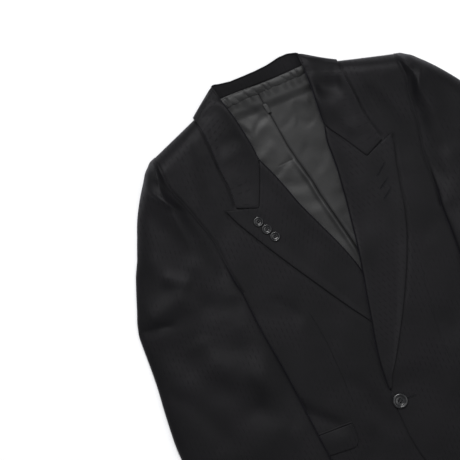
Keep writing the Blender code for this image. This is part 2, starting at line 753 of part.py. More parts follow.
over_front = seat_height(
    lambda x, y: front_height(LEFT, x, y), FRONT_BUTTON["x"], FRONT_BUTTON["y"], FRONT_BUTTON["across"]
)
make_button("button_front", FRONT_BUTTON["x"], FRONT_BUTTON["y"], over_front, FRONT_BUTTON, plastic)
for count, (button_x, button_y) in enumerate(LAPEL_BUTTONS, 1):
    level = seat_height(lapel_surface, button_x, button_y, LAPEL_BUTTON["across"])
    make_button(f"button_lapel_{count}", button_x, button_y, level, LAPEL_BUTTON, plastic)
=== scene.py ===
"""The looks of the cropped blazer: striped black suiting, satin lining, sewn details and light.

Metres, +Z up, in the frame of the CAD. The garment lies on z = 0 with its collar towards +Y. Lengths in the
tables are millimetres, and MM turns them into metres. Left and right are the wearer's, and the wearer's right
side lies at -X. Outlines give one half of the garment: "out" is the distance from the centre line, and "y"
runs up the garment.
"""

import math
from functools import partial

import bpy
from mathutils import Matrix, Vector, noise


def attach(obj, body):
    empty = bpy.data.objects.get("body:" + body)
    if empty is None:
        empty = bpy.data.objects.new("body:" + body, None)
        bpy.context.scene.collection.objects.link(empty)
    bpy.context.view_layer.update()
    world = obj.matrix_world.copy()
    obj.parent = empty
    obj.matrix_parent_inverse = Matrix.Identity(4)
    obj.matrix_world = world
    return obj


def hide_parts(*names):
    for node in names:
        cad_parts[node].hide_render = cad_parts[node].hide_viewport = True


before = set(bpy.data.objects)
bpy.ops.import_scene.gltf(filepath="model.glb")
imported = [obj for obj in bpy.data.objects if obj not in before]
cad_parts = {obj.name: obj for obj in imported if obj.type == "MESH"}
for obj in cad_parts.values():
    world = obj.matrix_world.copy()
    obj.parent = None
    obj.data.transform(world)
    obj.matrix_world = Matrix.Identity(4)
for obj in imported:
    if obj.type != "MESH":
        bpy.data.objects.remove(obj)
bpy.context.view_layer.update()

MM = 0.001
RIGHT, LEFT = -1, 1
SIDE_NAME = {RIGHT: "right", LEFT: "left"}

# Thickness of the cloths, the gap at a seam, the gap under cloth that lies on cloth, the height of the
# outline, the share of its thickness that a cloth's edges are rounded by, and the spacing of its mesh
BODY_CLOTH = 2
LINING_CLOTH = 1
COLLAR_CLOTH = 1.9
FLAP_CLOTH = 1.8
SEAM = 0.4
REST = 0.6
RIM = 2.4
BEVEL_SHARE = 0.32
GRID = 3.4

# The lie of the garment on its surface
SHOULDER_ROLL = 26
SIDE_ROLL = 20
NECK_LIFT = 3
EDGE_LIFT = 0.9
LIFT_LEAD = 4
COLLAR_STANDS = {RIGHT: 2.2, LEFT: 5.2}
COLLAR_EDGE_LIFT = {RIGHT: 1.2 * EDGE_LIFT, LEFT: 1.5 * EDGE_LIFT}
LAPEL_EDGE_LIFT = 1.4 * EDGE_LIFT
LAPEL_GRAIN = {RIGHT: 29, LEFT: -22}  # degrees that the lapels' stripes lean, nearly along their outer edges
DART_SHARE = 0.402  # how far across the front its dart lies

# How far askew the garment was laid: y, shift of x, rise of the wearer's right side and fall of the left
ASKEW = (
    (125, 0, 0),
    (150, 1, -3),
    (180, -0.5, -3.6),
    (215, -4, -4),
    (250, -4.4, -1),
    (280, -5.6, 2),
    (310, -8.8, 3.8),
    (345, -11.8, 5.1),
)
# The collar's fold round the back of the neck is not straight: x, how much further up it lies
NECK_WAVE = (
    (-66, -0.5), (-57, -3), (-40, -5.2), (-20, -4), (0, -2), (20, 0.8), (40, 5.2), (54, 5.4), (68, 1.5),
)

# Fittings
FRONT_BUTTON = {"across": 23, "thick": 3.6, "at": (-13, -204, 0.6), "holes": 3.8, "hole": 2.3}
LAPEL_BUTTON = {"across": 15, "thick": 3, "holes": 2.9, "hole": 1.8}
LAPEL_BUTTONS = ((-98, 127, 0.35), (-91, 111.5, 0.5), (-84, 96.5, 0.2))  # x, y, turn
BUTTON_FACETS, HOLE_FACETS = 64, 20
THREAD_DEPTH = 1.1  # how far under a button's back its thread starts
ARCH_SHARE = 0.75  # the middle of an arching thread reaches this share of its rise
STITCH = 0.62  # from one stitch of a buttonhole to the next

# Height of the front's upper face: y, near the centre, near the shoulder or side
FRONT_HEIGHT = (
    (-341, 12.4, 12.8),
    (-200, 13.4, 14.2),
    (0, 14.2, 15.4),
    (100, 15, 18),
    (160, 16.2, 21.5),
    (210, 17.5, 25.5),
    (250, 20, 29),
    (315, 22, 31),
)

# Folds and creases: x, y at each end, how far the middle bows sideways, height (below 0 is a trough), width
FRONT_FOLDS = (
    (-187, -118, -106, -211, 5, -2.2, 14),
    (-72.5, -136, -37.5, -242, 0, -1.8, 15),
    (-134, 255, -146, 120, 0, -2, 20),
    (134, 250, 148, 118, 0, -2, 20),
    (168, -58, 96, -150, 0, -2.2, 20),
    (66, -230, 150, -300, 0, -1.6, 22),
    (-58, -232, -140, -304, 0, -1.6, 22),
    (-178, -106, -112, -198, 6, -1.6, 10),
    (-92, -44, -101, -168, 4, -0.9, 9),
    (-62, -90, -66, -186, 0, 0.9, 10),
    (-100, -36, -128, 14, 5, -0.9, 9),
    (-172, 2, -98, -24, -5, -1.1, 18),
    (-128, 290, -140, 196, 3, -0.8, 6),
    (-150, 250, -172, 180, 0, 0.9, 9),
    (-176, -170, -150, -300, 6, 0.8, 13),
    (178, -104, 112, -196, -6, -1.4, 10),
    (96, -100, 60, -214, 5, -1.1, 11),
    (160, 20, 118, 2, 4, -0.7, 14),
    (150, 246, 168, 172, 0, 0.9, 9),
    (126, 284, 133, 190, -3, -0.8, 7),
    (180, -180, 150, -300, -6, 0.9, 13),
)
# The same on both sleeves, as out and y
SLEEVE_FOLDS = (
    (350, 45, 276, 38, 0, -1.8, 8),
    (244, 222, 204, 96, 0, -2.4, 20),
    (300, 10, 236, -96, 0, -2.6, 22),
    (196, -20, 216, -150, 0, -2.2, 20),
    (300, -190, 250, -290, 0, -2, 20),
)
# The same, for each sleeve by itself
SLEEVE_CREASES = {
    RIGHT: (
        (226, 242, 180, 181, -4, 3.6, 5),
        (214, 254, 186, 208, -3, -3.2, 8),
        (204, 268, 206, 250, 0, -1.8, 8),
        (338, 47, 282, 38, 3, -0.8, 3.5),
        (224, 110, 178, 90, 0, 2.4, 18),
        (234, 44, 164, 20, 4, -3, 21),
        (272, -40, 172, -104, 6, 4.6, 26),
        (250, 2, 236, -44, 0, 0.9, 12),
        (232, -38, 170, -72, 4, 0.5, 15),
        (262, 108, 228, 82, 0, 2.4, 11),
        (226, -124, 164, -178, 5, -1.4, 18),
        (318, -60, 270, -170, 8, -1.5, 16),
        (270, 150, 236, 66, -5, 1.5, 14),
        (312, 56, 240, 66, 3, 4.2, 18),
        (190, -170, 214, -290, 5, -1.2, 12),
        (296, -200, 276, -296, -4, 1.1, 12),
    ),
    LEFT: (
        (224, 240, 184, 186, -3, 3, 5.5),
        (212, 254, 188, 212, -3, -2.6, 8),
        (205, 268, 208, 250, 0, -1.5, 8),
        (338, 38, 270, 28, 3, -1.5, 4.5),
        (336, 18, 284, 6, -3, -1.1, 5),
        (228, 112, 180, 90, 0, 2, 18),
        (240, 48, 168, 20, 4, -2.6, 21),
        (268, -30, 160, -104, -6, 3.2, 27),
        (240, -14, 176, -66, 0, 0.9, 12),
        (222, -90, 172, -176, -5, -1.5, 13),
        (314, -80, 262, -196, -8, -1.6, 15),
        (276, 140, 244, 60, 5, 1.4, 13),
        (186, -190, 206, -296, -5, -1.1, 12),
        (300, -214, 272, -298, 4, 1.2, 11),
    ),
}
LINING_FOLDS = (
    (-46, 250, -16, 268, -2, -1.4, 5),
    (-60, 240, -22, 258, -3, 1.2, 9),
    (-66, 290, -26, 272, -5, -1.3, 9),
    (-64, 282, -44, 252, 0, 0.9, 6),
    (-60, 214, -26, 226, 3, 0.9, 8),
    (-48, 180, -8, 196, 0, -0.8, 5),
    (-40, 166, -2, 150, 4, -0.8, 9),
    (-30, 130, 8, 118, 3, -0.5, 9),
    (-20, 108, 16, 84, -3, 0.6, 10),
    (-6, 74, 18, 46, 2, -0.5, 8),
    (22, 246, 44, 228, 5, -0.6, 8),
    (24, 272, 52, 260, -3, 0.9, 10),
    (-10, 240, 26, 256, 3, -0.4, 6),
    (10, 200, 40, 176, -3, -0.8, 12),
    (20, 160, 34, 120, 2, 0.7, 11),
    (24, 90, 30, 50, 0, -0.8, 6),
    (-34, 193, -9, 192, 0, -0.35, 1.2),
    (-34, 186, -9, 185, 0, 0.2, 5),
)
COLLAR_CREASES = (
    (-70, 300, -108, 268, 4, -0.9, 9),
    (74, 314, 106, 302, 0, 4, 16),
    (68, 277, 102, 265, 0, -3.2, 15),
    (82, 250, 90, 186, 0, 2.3, 13),
    (-116, 233, -68, 240, 2, 0.8, 7),
    (-110, 252, -68, 256, 0, -1.1, 9),
    (64, 290, 92, 262, 4, -1.1, 9),
    (-84, 240, -104, 196, 0, 0.6, 10),
)

# Ends of the shoulder seam, and the side seam and front armhole from hem to shoulder: out, y
NECK_POINT = (90, 310.5)
SHOULDER_POINT = (195, 275.6)
SIDE_AND_ARMHOLE = (
    (246, -337.5), (245.5, -334), (245, -326), (244, -312), (241, -288), (236, -250), (228.5, -195),
    (227.6, -185), (224.5, -140), (224.5, -92), (230, -45), (238, 0), (240, 30), (205, 32), (180, 34),
    (163, 38), (167.3, 82), (169.3, 118), (179.3, 164), (187.2, 203), (195.6, 235), (195.5, 252),
    (195.3, 262.5), (195.1, 269.5), (195, 273.8), SHOULDER_POINT,
)
BREAK_ROW, UNDERARM_ROW, NECKLINE_ROW = 6, 12, 20
NECKLINE = ((66.3, 236), (74.5, 262), (83.5, 285), (87.5, 297), (89.3, 305), NECK_POINT)

# Front edge from the hem up, then roll line up to the gorge: out, y
FRONT_CORNER = (
    (38, -341), (22, -339), (6, -331), (-8, -315), (-17, -288),
)
UNDER_EDGE = FRONT_CORNER + (
    (-21, -250), (-22, -195), (-22.3, -185), (-23.5, -140), (-23.5, -92), (-20.5, -45), (-13, 0), (-9, 15),
    (-5, 31), (-0.5, 46), (6, 65), (14, 84), (24, 110), (38, 152), (47.4, 189.5),
)
OVER_EDGE = FRONT_CORNER + (
    (-21, -245), (-21.5, -192), (-21.5, -185), (-17.5, -145), (-7.5, -92), (4.5, -42), (15, 1), (18, 15),
    (21.5, 31), (24.5, 46), (28, 65), (31.5, 84), (36, 110), (40.5, 152), (45.5, 188.5),
)
# The back from the underarm to the neck: out, y
BACK_EDGE = (
    (240, 30), (212, 50), (191, 82), (181, 118), (179, 160), (183, 203), (190, 235), (194.5, 258),
    SHOULDER_POINT, NECK_POINT,
)
# The back lining: its ends, the stretch of its cross seam, where rows lie close, and its centre seam as y, x
LINING_HEM, LINING_TOP = -318, 309.5
CROSS_SEAM = (188.6, 196.8)
CENTRE_BACK = ((LINING_HEM, 8), (-60, 24), (32, 22), (81, 13), (128.5, 4), (189, -5.5), (283, -12.5))
GORGE_TOP = (54.5, 214.5)
GORGE_END = (89.5, 147.6)
GORGE_SHARE = 0.6

# Lapels from the gorge down to the break: roll line out and y, edge out and y, bend of the row to the gorge
UNDER_LAPEL = (
    (54.5, 214.5, 135.5, 163.5, 1),
    (51, 202, 133, 153.5, 0.8),
    (47.4, 189.5, 128.6, 141.5, 0.6),
    (41.5, 166, 121.5, 127, 0.38),
    (34, 138, 112.5, 109.5, 0.2),
    (24, 110, 103, 91.5, 0.08),
    (14, 84, 91, 69.5, 0),
    (-0.5, 46, 72, 36, 0),
    (-13, 3, 50, -2, 0),
    (-20, -42, 25, -44, 0),
    (-23, -84, 2, -81, 0),
    (-23.5, -115, -12, -112, 0),
    (-23.5, -138, -19, -136, 0),
)
OVER_LAPEL = (
    (54.5, 214.5, 135.5, 163.5, 1),
    (49.5, 202, 134.2, 152.5, 0.8),
    (45.5, 188.5, 131.2, 141, 0.6),
    (42.8, 166, 126.5, 126, 0.38),
    (39.5, 138, 121.5, 106.5, 0.2),
    (36, 110, 116.5, 86, 0.08),
    (31, 81, 111, 62, 0),
    (24, 42, 99.5, 26, 0),
    (15, 1, 83, -11.5, 0),
    (5.5, -38, 64.5, -47.5, 0),
    (-4, -78, 44, -84, 0),
    (-12, -110, 26, -113, 0),
    (-18, -143, 6, -144, 0),
    (-20.3, -165, -9.5, -166, 0),
    (-21.4, -181, -16.5, -181, 0),
)
FRONT_EDGES = {RIGHT: UNDER_EDGE, LEFT: OVER_EDGE}
LAPELS = {RIGHT: UNDER_LAPEL, LEFT: OVER_LAPEL}
# The rolled edge of a lapel: distance in from the roll line, share of the rise from the front's back face
ROLLED_EDGE = (
    (0, 0), (-0.2, 0.2), (-0.2, 0.42), (0.1, 0.6), (0.6, 0.76), (1.3, 0.88), (2.3, 0.95), (3.4, 0.985),
    (4.5, 1),
)

# Half of the collar on the front: neck seam, fold and free edge as out, y, then its bend to the gorge
COLLAR = (
    (56.6, 219, 54.9, 216, 120.2, 161.6, 1),
    (60.5, 230.5, 55.1, 227, 118, 175.5, 0.72),
    (66, 244, 56, 240, 114.2, 200, 0.42),
    (73.6, 262.5, 58.2, 259, 114.3, 226, 0.2),
    (80, 278.5, 60.4, 277, 113.3, 250, 0.08),
    (84.9, 291.5, 62.6, 293, 112.5, 272, 0),
    (87, 299, 64.6, 307, 113, 286, 0),
)
# The collar round the back of the neck: out, y, z of its seam, its fold and three places of its fall
COLLAR_WRAP = (
    ((88, 306.5, 9), (66.3, 320, 20), (78, 315, 23.5), (98, 308, 22.5), (114.5, 297.5, 21)),
    ((84.5, 312, 7.5), (67.5, 330, 18), (76, 326.5, 19.5), (95, 317.5, 17), (116, 303.8, 13.5)),
    ((78, 313.8, 6.2), (67.8, 336, 14.5), (74.5, 333.2, 11.5), (92.5, 321.2, 8), (116, 305.6, 5)),
    ((70, 314.4, 5.6), (65, 338, 12.5), (71, 333.5, 6), (90, 319, 0.6), (110.5, 305.2, 0.6)),
    ((58, 314.4, 5.2), (57, 338, 11.5), (60.5, 334, 4), (72, 315.5, 0), (88, 294.5, 0)),
    ((40, 314.4, 5.2), (40, 337.6, 11), (42, 334, 3.5), (48, 315, 0), (54, 293.5, 0)),
    ((20, 314.8, 5.2), (20, 337.2, 10.6), (21, 333.5, 3.2), (24, 315, 0), (27, 293, 0)),
    ((0, 315, 5.2), (0, 337, 10.5), (0, 333.5, 3), (0, 315, 0), (0, 293, 0)),
)

# The upper sleeve from shoulder to cuff: inner out and y, outer out and y, arch, 0 if sewn or 1 if folded
UPPER_SLEEVE = (
    (195.4, 276.2, 203.5, 273.6, 0, 0),
    (195.5, 274.2, 206.5, 271.8, 1.5, 0),
    (195.6, 270, 211, 268, 4, 0),
    (195.8, 262.5, 218, 262.5, 8, 0),
    (196, 252, 227, 251.5, 11, 0),
    (196.1, 235, 239.5, 236, 13.5, 0),
    (187.8, 203, 260.5, 205, 15, 0),
    (179.9, 164, 283.5, 161, 14.5, 0),
    (169.9, 118, 303, 117, 13, 0.1),
    (167.9, 82, 319, 77, 12, 0.35),
    (165.8, 60, 326, 60, 11.5, 0.7),
    (164.3, 50, 329.3, 49, 11.5, 0.85),
    (162.2, 38, 331.2, 41, 11.5, 1),
    (161.6, 26, 332, 31, 11.5, 1),
    (160.5, 5, 333.2, 12, 11.5, 1),
    (159.6, -12, 334.6, -10, 12, 1),
    (158, -33, 337, -38, 12, 1),
    (152.5, -85, 343.5, -88, 12.5, 1),
    (148.5, -140, 348, -143, 12.5, 1),
    (145, -200, 346.5, -200, 12, 1),
    (142.5, -245, 337, -243, 11, 1),
    (144, -285, 322.5, -285, 9.5, 1),
    (145.5, -308, 313, -311, 9, 1),
)
# The under sleeve, along the back armhole, the underarm and the inner fold: inner out and y, outer out and y
UNDER_SLEEVE = (
    (197.5, 274.5, 203, 273),
    (195.2, 258, 222, 257.5),
    (190.8, 235, 239.5, 236),
    (183.8, 203, 260.5, 205),
    (179.8, 160, 283.5, 161),
    (181.8, 118, 303, 117),
    (191.8, 82.5, 319, 77),
    (212.5, 51, 329, 50),
    (240.5, 29, 332, 32),
    (205, 30.5, 333, 12),
    (180, 32, 334, -8),
    (162.4, 34, 335.5, -25),
    (160.3, 0, 337, -45),
    (158, -33, 341, -70),
    (152.5, -85, 346, -115),
    (148.5, -140, 348, -160),
    (145, -200, 346.3, -203),
    (142.5, -245, 337, -243),
    (145.5, -307.5, 313, -310.5),
)
# Pocket flap, from its rounded front corner: out, lower edge y
FLAP_FRONT, FLAP_TOP = 93, -206
FLAP_SLOPE = 0.06  # how much its top rises for each millimetre outwards
FLAP = ((FLAP_FRONT, -224), (94, -231), (97.5, -237), (104, -240), (130, -237.5), (170, -233.5), (212, -229))


def lerp(a, b, t):
    return a + (b - a) * t


def ease(t):
    t = min(max(t, 0), 1)
    return t * t * (3 - 2 * t)


def rounded(distance, radius):
    """0 at an edge and 1 from radius inwards, as a quarter of an ellipse."""
    t = min(max(distance / radius, 0), 1)
    return math.sqrt(1 - (1 - t) ** 2)


def bell(distance, width):
    """1 at no distance, dying away to nothing at two to three times the width."""
    return math.exp(-((distance / width) ** 2))


def look_up(table, key, column, by=0):
    """The value of a column at key, in straight steps between rows that rise in their column by."""
    if key <= table[0][by]:
        return table[0][column]
    for low, high in zip(table, table[1:]):
        if key <= high[by]:
            return lerp(low[column], high[column], (key - low[by]) / (high[by] - low[by]))
    return table[-1][column]


def tangent(before, after):
    """The slope at a place between two steps, flat where they turn back, so that a curve never overshoots."""
    return 2 * before * after / (before + after) if before * after > 0 else 0


def row_at(rows, position):
    """A row between two rows of a table, on a smooth curve through them all."""
    last = len(rows) - 1
    i = min(int(position), last - 1)
    t = position - i
    found = []
    for column, (a, b) in enumerate(zip(rows[i], rows[i + 1])):
        before = a - rows[i - 1][column] if i > 0 else b - a
        after = rows[i + 2][column] - b if i + 2 <= last else b - a
        rise = tangent(before, b - a) * (t - 2 * t * t + t**3) + tangent(b - a, after) * (t**3 - t * t)
        found.append(lerp(a, b, ease(t)) + rise)
    return tuple(found)


def between(rows, position):
    """A row between two rows of a table, on a straight line."""
    i = min(int(position), len(rows) - 2)
    return tuple(lerp(a, b, position - i) for a, b in zip(rows[i], rows[i + 1]))


def skew(x, y):
    """Where a point of the symmetric garment lies, its neck pushed a little to the wearer's right."""
    shift, tilt = look_up(ASKEW, y, 1), look_up(ASKEW, y, 2)
    wave = look_up(NECK_WAVE, x, 1) * ease((y - 314) / 20)
    return x + shift, y - tilt * math.tanh(x / 45) + wave


def laid(x, y, z):
    return Vector((*skew(x, y), z)) * MM


def spread(count):
    return [i / count for i in range(count + 1)]


def row_steps(rows, step, ends=((0, 1), (2, 3))):
    """Positions along a table's rows, close enough that its given ends move no more than a step at a time."""
    found = [0]
    for i, (low, high) in enumerate(zip(rows, rows[1:])):
        far = max(math.hypot(high[a] - low[a], high[b] - low[b]) for a, b in ends)
        count = max(1, round(far / step))
        found += [i + k / count for k in range(1, count + 1)]
    return found


# Heights


def side_out(y):
    return look_up(SIDE_AND_ARMHOLE[:UNDERARM_ROW + 1], y, 0, by=1)


def shoulder_y(out):
    return lerp(NECK_POINT[1], SHOULDER_POINT[1], (out - NECK_POINT[0]) / (SHOULDER_POINT[0] - NECK_POINT[0]))


def neck_lift(out, y):
    return NECK_LIFT * ease((y - 279) / 12) * ease((136 - out) / 14)


def flat_height(out, y):
    share = ease((out - 60) / 140)
    return lerp(look_up(FRONT_HEIGHT, y, 1), look_up(FRONT_HEIGHT, y, 2), share)


def folds(table, x, y):
    """What the troughs and ridges of a table add to the height at a point."""
    added = 0
    for x0, y0, x1, y1, bow, height, width in table:
        dx, dy = x1 - x0, y1 - y0
        length = math.hypot(dx, dy)
        along = ((x - x0) * dx + (y - y0) * dy) / length**2
        if not -0.2 < along < 1.2:
            continue
        across = ((x - x0) * dy - (y - y0) * dx) / length - bow * 4 * along * (1 - along)
        if abs(across) < 3 * width:
            ends = ease((along + 0.15) / 0.35) * ease((1.15 - along) / 0.35)
            added += height * ends * bell(across, width)
    return added


def ripple(x, y, size, seed):
    """Gentle unevenness between about -1 and 1, with hollows and rises about one size across."""
    return noise.noise(Vector((x / size, y / size, seed * 7.3)))


def body_height(x, y):
    """The upper face of a single front, with its creases."""
    out = abs(x)
    low = RIM + 2 * SEAM + neck_lift(out - LIFT_LEAD, y + LIFT_LEAD)
    shoulder = rounded((shoulder_y(out) - y) * 0.95, SHOULDER_ROLL)
    side = rounded(side_out(y) - out, SIDE_ROLL)
    detail = folds(FRONT_FOLDS, x, y)
    detail += 0.55 * ripple(x, y, 62, 1) + 0.22 * ripple(x, y, 23, 2)
    return low + (flat_height(out, y) + detail - low) * min(shoulder, side)


def over_lift(x, y):
    """How much the over front rises where it lies on the under front and its lapel."""
    across = ease((88 - x) / 66)
    front = (BODY_CLOTH + REST) * ease((75 - y) / 60)
    lapel = (BODY_CLOTH + REST) * ease((72 - y) / 60) * ease((y + 188) / 34)
    return across * (front + lapel)


def front_height(side, x, y):
    return body_height(x, y) + (over_lift(x, y) if side == LEFT else 0)


def pocket_rise(out, y):
    return (FLAP_CLOTH + 2 * REST) * ease((out - 70) / 20) * ease((y + 320) / 60) * ease((-120 - y) / 70)


def sleeve_rest(out, y):
    over_side = ease((side_out(y) + 36 - out) / 34)
    over_front = ease((60 - y) / 24)
    return (flat_height(out, y) + pocket_rise(out, y) + 2 * SEAM) * over_side * over_front


def seam_dip(distance, depth=0.7, width=2.4):
    """How far the cloth is drawn down beside a seam."""
    return depth * bell(distance, width)


def run_along(places):
    """How far along a line of places each of them lies."""
    lengths = [0]
    for before, after in zip(places, places[1:]):
        lengths.append(lengths[-1] + math.dist(before, after))
    return lengths


def turned(x, y, degrees=0):
    """A place on the cut, in metres, of a piece whose grain leans that far from the garment's length."""
    angle = math.radians(degrees)
    return (
        (x * math.cos(angle) - y * math.sin(angle)) * MM,
        (x * math.sin(angle) + y * math.cos(angle)) * MM,
    )


# Shading


class Tree:
    """Short calls that add nodes to a material or a group and join them. Inputs go by name, _ for space."""

    def __init__(self, tree):
        self.tree = tree

    def feed(self, socket, value):
        if isinstance(value, bpy.types.NodeSocket):
            self.tree.links.new(value, socket)
        else:
            socket.default_value = value

    def fill(self, node, **inputs):
        for label, value in inputs.items():
            self.feed(node.inputs[label.replace("_", " ")], value)
        return node

    def node(self, kind, **inputs):
        return self.fill(self.tree.nodes.new("ShaderNode" + kind), **inputs)

    def shade(self, **inputs):
        self.fill(self.tree.nodes["Principled BSDF"], **inputs)

    def group(self, made, **inputs):
        placed = self.node("Group")
        placed.node_tree = made
        return self.fill(placed, **inputs).outputs

    def math(self, operation, *values):
        made = self.node("Math")
        made.operation = operation
        for socket, value in zip(made.inputs, values):
            self.feed(socket, value)
        return made.outputs[0]

    def between(self, value, low, high, to_low=0, to_high=1):
        """A smooth step of value from low to high."""
        made = self.node("MapRange", Value=value, From_Min=low, From_Max=high, To_Min=to_low, To_Max=to_high)
        made.interpolation_type = "SMOOTHSTEP"
        return made.outputs["Result"]

    def mix(self, share, first, second):
        made = self.node("Mix")
        made.data_type = "RGBA"
        return self.fill(made, Factor=share, A=first, B=second).outputs["Result"]

    def split(self, vector):
        made = self.node("SeparateXYZ", Vector=vector)
        return made.outputs["X"], made.outputs["Y"]

    def noise(self, vector, scale, detail=2):
        return self.node("TexNoise", Vector=vector, Scale=scale, Detail=detail).outputs["Fac"]

    def place(self):
        return self.node("TexCoord").outputs["Object"]

    def cut(self):
        """Where a place was on the flat cut, in metres."""
        made = self.node("UVMap")
        made.uv_map = "cut"
        return made.outputs["UV"]

    def bump(self, height, strength, distance):
        return self.node("Bump", Strength=strength, Distance=distance, Height=height).outputs["Normal"]


def node_group(name, inputs, outputs):
    """A group with the named inputs, each with its kind and value, and the named float outputs."""
    tree = bpy.data.node_groups.new(name, "ShaderNodeTree")
    for label, kind, value in inputs:
        socket = tree.interface.new_socket(label, in_out="INPUT", socket_type="NodeSocket" + kind)
        if value is not None:
            socket.default_value = value
    for label in outputs:
        tree.interface.new_socket(label, in_out="OUTPUT", socket_type="NodeSocketFloat")
    return Tree(tree), tree.nodes.new("NodeGroupInput").outputs, tree.nodes.new("NodeGroupOutput").inputs


def make_weave():
    """Fine twill: slanting ribs crossed by single threads."""
    tree, given, out = node_group(
        "twill weave", (("Cut", "Vector", None), ("Pitch", "Float", 0.0008)), ("Height",)
    )
    x, y = tree.split(given["Cut"])
    slant = tree.math("DIVIDE", tree.math("ADD", x, tree.math("MULTIPLY", y, 0.8)), given["Pitch"])
    rib = tree.math("SINE", tree.math("MULTIPLY", slant, math.tau))
    thread = tree.math("SINE", tree.math("MULTIPLY", tree.math("DIVIDE", x, given["Pitch"]), 2 * math.tau))
    uneven = tree.noise(given["Cut"], 620, 3)
    height = tree.math("MULTIPLY_ADD", rib, 0.32, 0.5)
    height = tree.math("MULTIPLY_ADD", thread, 0.1, height)
    tree.feed(out["Height"], tree.math("MULTIPLY_ADD", uneven, 0.5, height))
    return tree.tree


def make_stripe():
    """A shadow stripe: columns of short woven dashes, each column's dashes set off from the next."""
    tree, given, out = node_group(
        "shadow stripe",
        (("Cut", "Vector", None), ("Spacing", "Float", 0.00675), ("Width", "Float", 0.2),
         ("Dash", "Float", 0.0115), ("Woven", "Float", 0.66)),
        ("Stripe",),
    )
    x, y = tree.split(given["Cut"])
    column = tree.math("DIVIDE", x, given["Spacing"])
    away = tree.math("ABSOLUTE", tree.math("SUBTRACT", tree.math("FRACT", column), 0.5))
    half = tree.math("MULTIPLY", given["Width"], 0.5)
    line = tree.between(away, half, tree.math("MULTIPLY", half, 0.5))
    shift = tree.math("MULTIPLY", tree.math("FLOOR", column), 0.37)
    row = tree.math("FRACT", tree.math("ADD", tree.math("DIVIDE", y, given["Dash"]), shift))
    middle = tree.math("ABSOLUTE", tree.math("SUBTRACT", row, 0.5))
    dash_half = tree.math("MULTIPLY", given["Woven"], 0.5)
    dash = tree.between(middle, dash_half, tree.math("SUBTRACT", dash_half, 0.07))
    tree.feed(out["Stripe"], tree.math("MULTIPLY", line, dash))
    return tree.tree


def make_cloud():
    """Slow and quick changes of tone, as handled cloth has."""
    tree, given, out = node_group(
        "handled cloth", (("Place", "Vector", None), ("Scale", "Float", 17)), ("Tone", "Nap")
    )
    slow = tree.noise(given["Place"], given["Scale"], 3)
    quick = tree.noise(given["Place"], tree.math("MULTIPLY", given["Scale"], 22), 2)
    tree.feed(out["Tone"], tree.between(slow, 0.32, 0.68))
    tree.feed(out["Nap"], quick)
    return tree.tree


def new_material(name, **inputs):
    """A material and short calls for its tree. The even values go straight to its shader."""
    material = bpy.data.materials.new(name)
    material.use_nodes = True
    tree = Tree(material.node_tree)
    tree.shade(**inputs)
    return material, tree


def make_suiting():
    material, tree = new_material(
        "black striped suiting", Roughness=0.56, Specular_IOR_Level=0.13, Specular_Tint=(0.97, 0.955, 1, 1),
        Sheen_Weight=0.035, Sheen_Roughness=0.4, Sheen_Tint=(0.68, 0.64, 1, 1),
    )
    cut, place = tree.cut(), tree.place()
    cloud = tree.group(cloud_group, Place=place)
    ground = tree.mix(cloud["Tone"], (0.0024, 0.0024, 0.0026, 1), (0.0046, 0.0043, 0.0049, 1))
    ground = tree.mix(tree.math("MULTIPLY", cloud["Nap"], 0.2), ground, (0.0095, 0.0095, 0.0105, 1))
    patchy = tree.between(tree.noise(place, 34, 3), 0.38, 0.64, 0.1, 0.66)
    stripe = tree.math("MULTIPLY", tree.group(stripe_group, Cut=cut)["Stripe"], patchy)
    mottle = tree.math("MULTIPLY_ADD", tree.noise(place, 48), -0.14, 0.64)
    mottle = tree.math("MULTIPLY_ADD", cloud["Nap"], -0.08, mottle)
    weave = tree.group(weave_group, Cut=cut)["Height"]
    tree.shade(
        Base_Color=tree.mix(stripe, ground, (0.0008, 0.0008, 0.001, 1)),
        Roughness=tree.math("MULTIPLY_ADD", stripe, 0.3, mottle),
        Normal=tree.bump(weave, 0.55, 0.00012),
    )
    return material


def make_satin():
    material, tree = new_material("charcoal satin", Roughness=0.5, Specular_IOR_Level=0.26, Anisotropic=0.35)
    place = tree.place()
    cloud = tree.group(cloud_group, Place=place, Scale=26)
    _, y = tree.split(tree.cut())
    thread = tree.math("SINE", tree.math("MULTIPLY", y, math.tau / 0.0004))
    height = tree.math("MULTIPLY_ADD", thread, 0.04, tree.noise(place, 75, 3))
    tree.shade(
        Base_Color=tree.mix(cloud["Tone"], (0.0086, 0.0086, 0.0088, 1), (0.0134, 0.0134, 0.0136, 1)),
        Roughness=tree.math("MULTIPLY_ADD", cloud["Nap"], 0.12, 0.42),
        Normal=tree.bump(height, 0.15, 0.0012),
    )
    return material


def make_button_plastic():
    material, tree = new_material(
        "black moulded button", Roughness=0.26, Specular_IOR_Level=0.4, Coat_Weight=0.3, Coat_Roughness=0.12
    )
    place = tree.place()
    marble = tree.between(tree.noise(place, 260, 4), 0.4, 0.7)
    tree.shade(
        Base_Color=tree.mix(marble, (0.006, 0.006, 0.007, 1), (0.015, 0.015, 0.016, 1)),
        Roughness=tree.math("MULTIPLY_ADD", tree.noise(place, 900), 0.2, 0.16),
    )
    return material


def make_thread():
    material, tree = new_material("black sewing thread", Roughness=0.65, Specular_IOR_Level=0.2)
    x, y = tree.split(tree.place())
    twist = tree.math("SINE", tree.math("MULTIPLY", tree.math("ADD", x, y), math.tau / 0.0005))
    tone = tree.math("MULTIPLY_ADD", twist, 0.5, 0.5)
    tree.shade(
        Base_Color=tree.mix(tone, (0.004, 0.004, 0.005, 1), (0.012, 0.012, 0.014, 1)),
        Normal=tree.bump(twist, 0.5, 0.0001),
    )
    return material


def make_floor_finish():
    material, tree = new_material("pale studio floor", Roughness=0.9, Specular_IOR_Level=0.1)
    tone = tree.noise(tree.place(), 1.5)
    tree.shade(Base_Color=tree.mix(tone, (0.86, 0.86, 0.87, 1), (0.9, 0.9, 0.9, 1)))
    return material


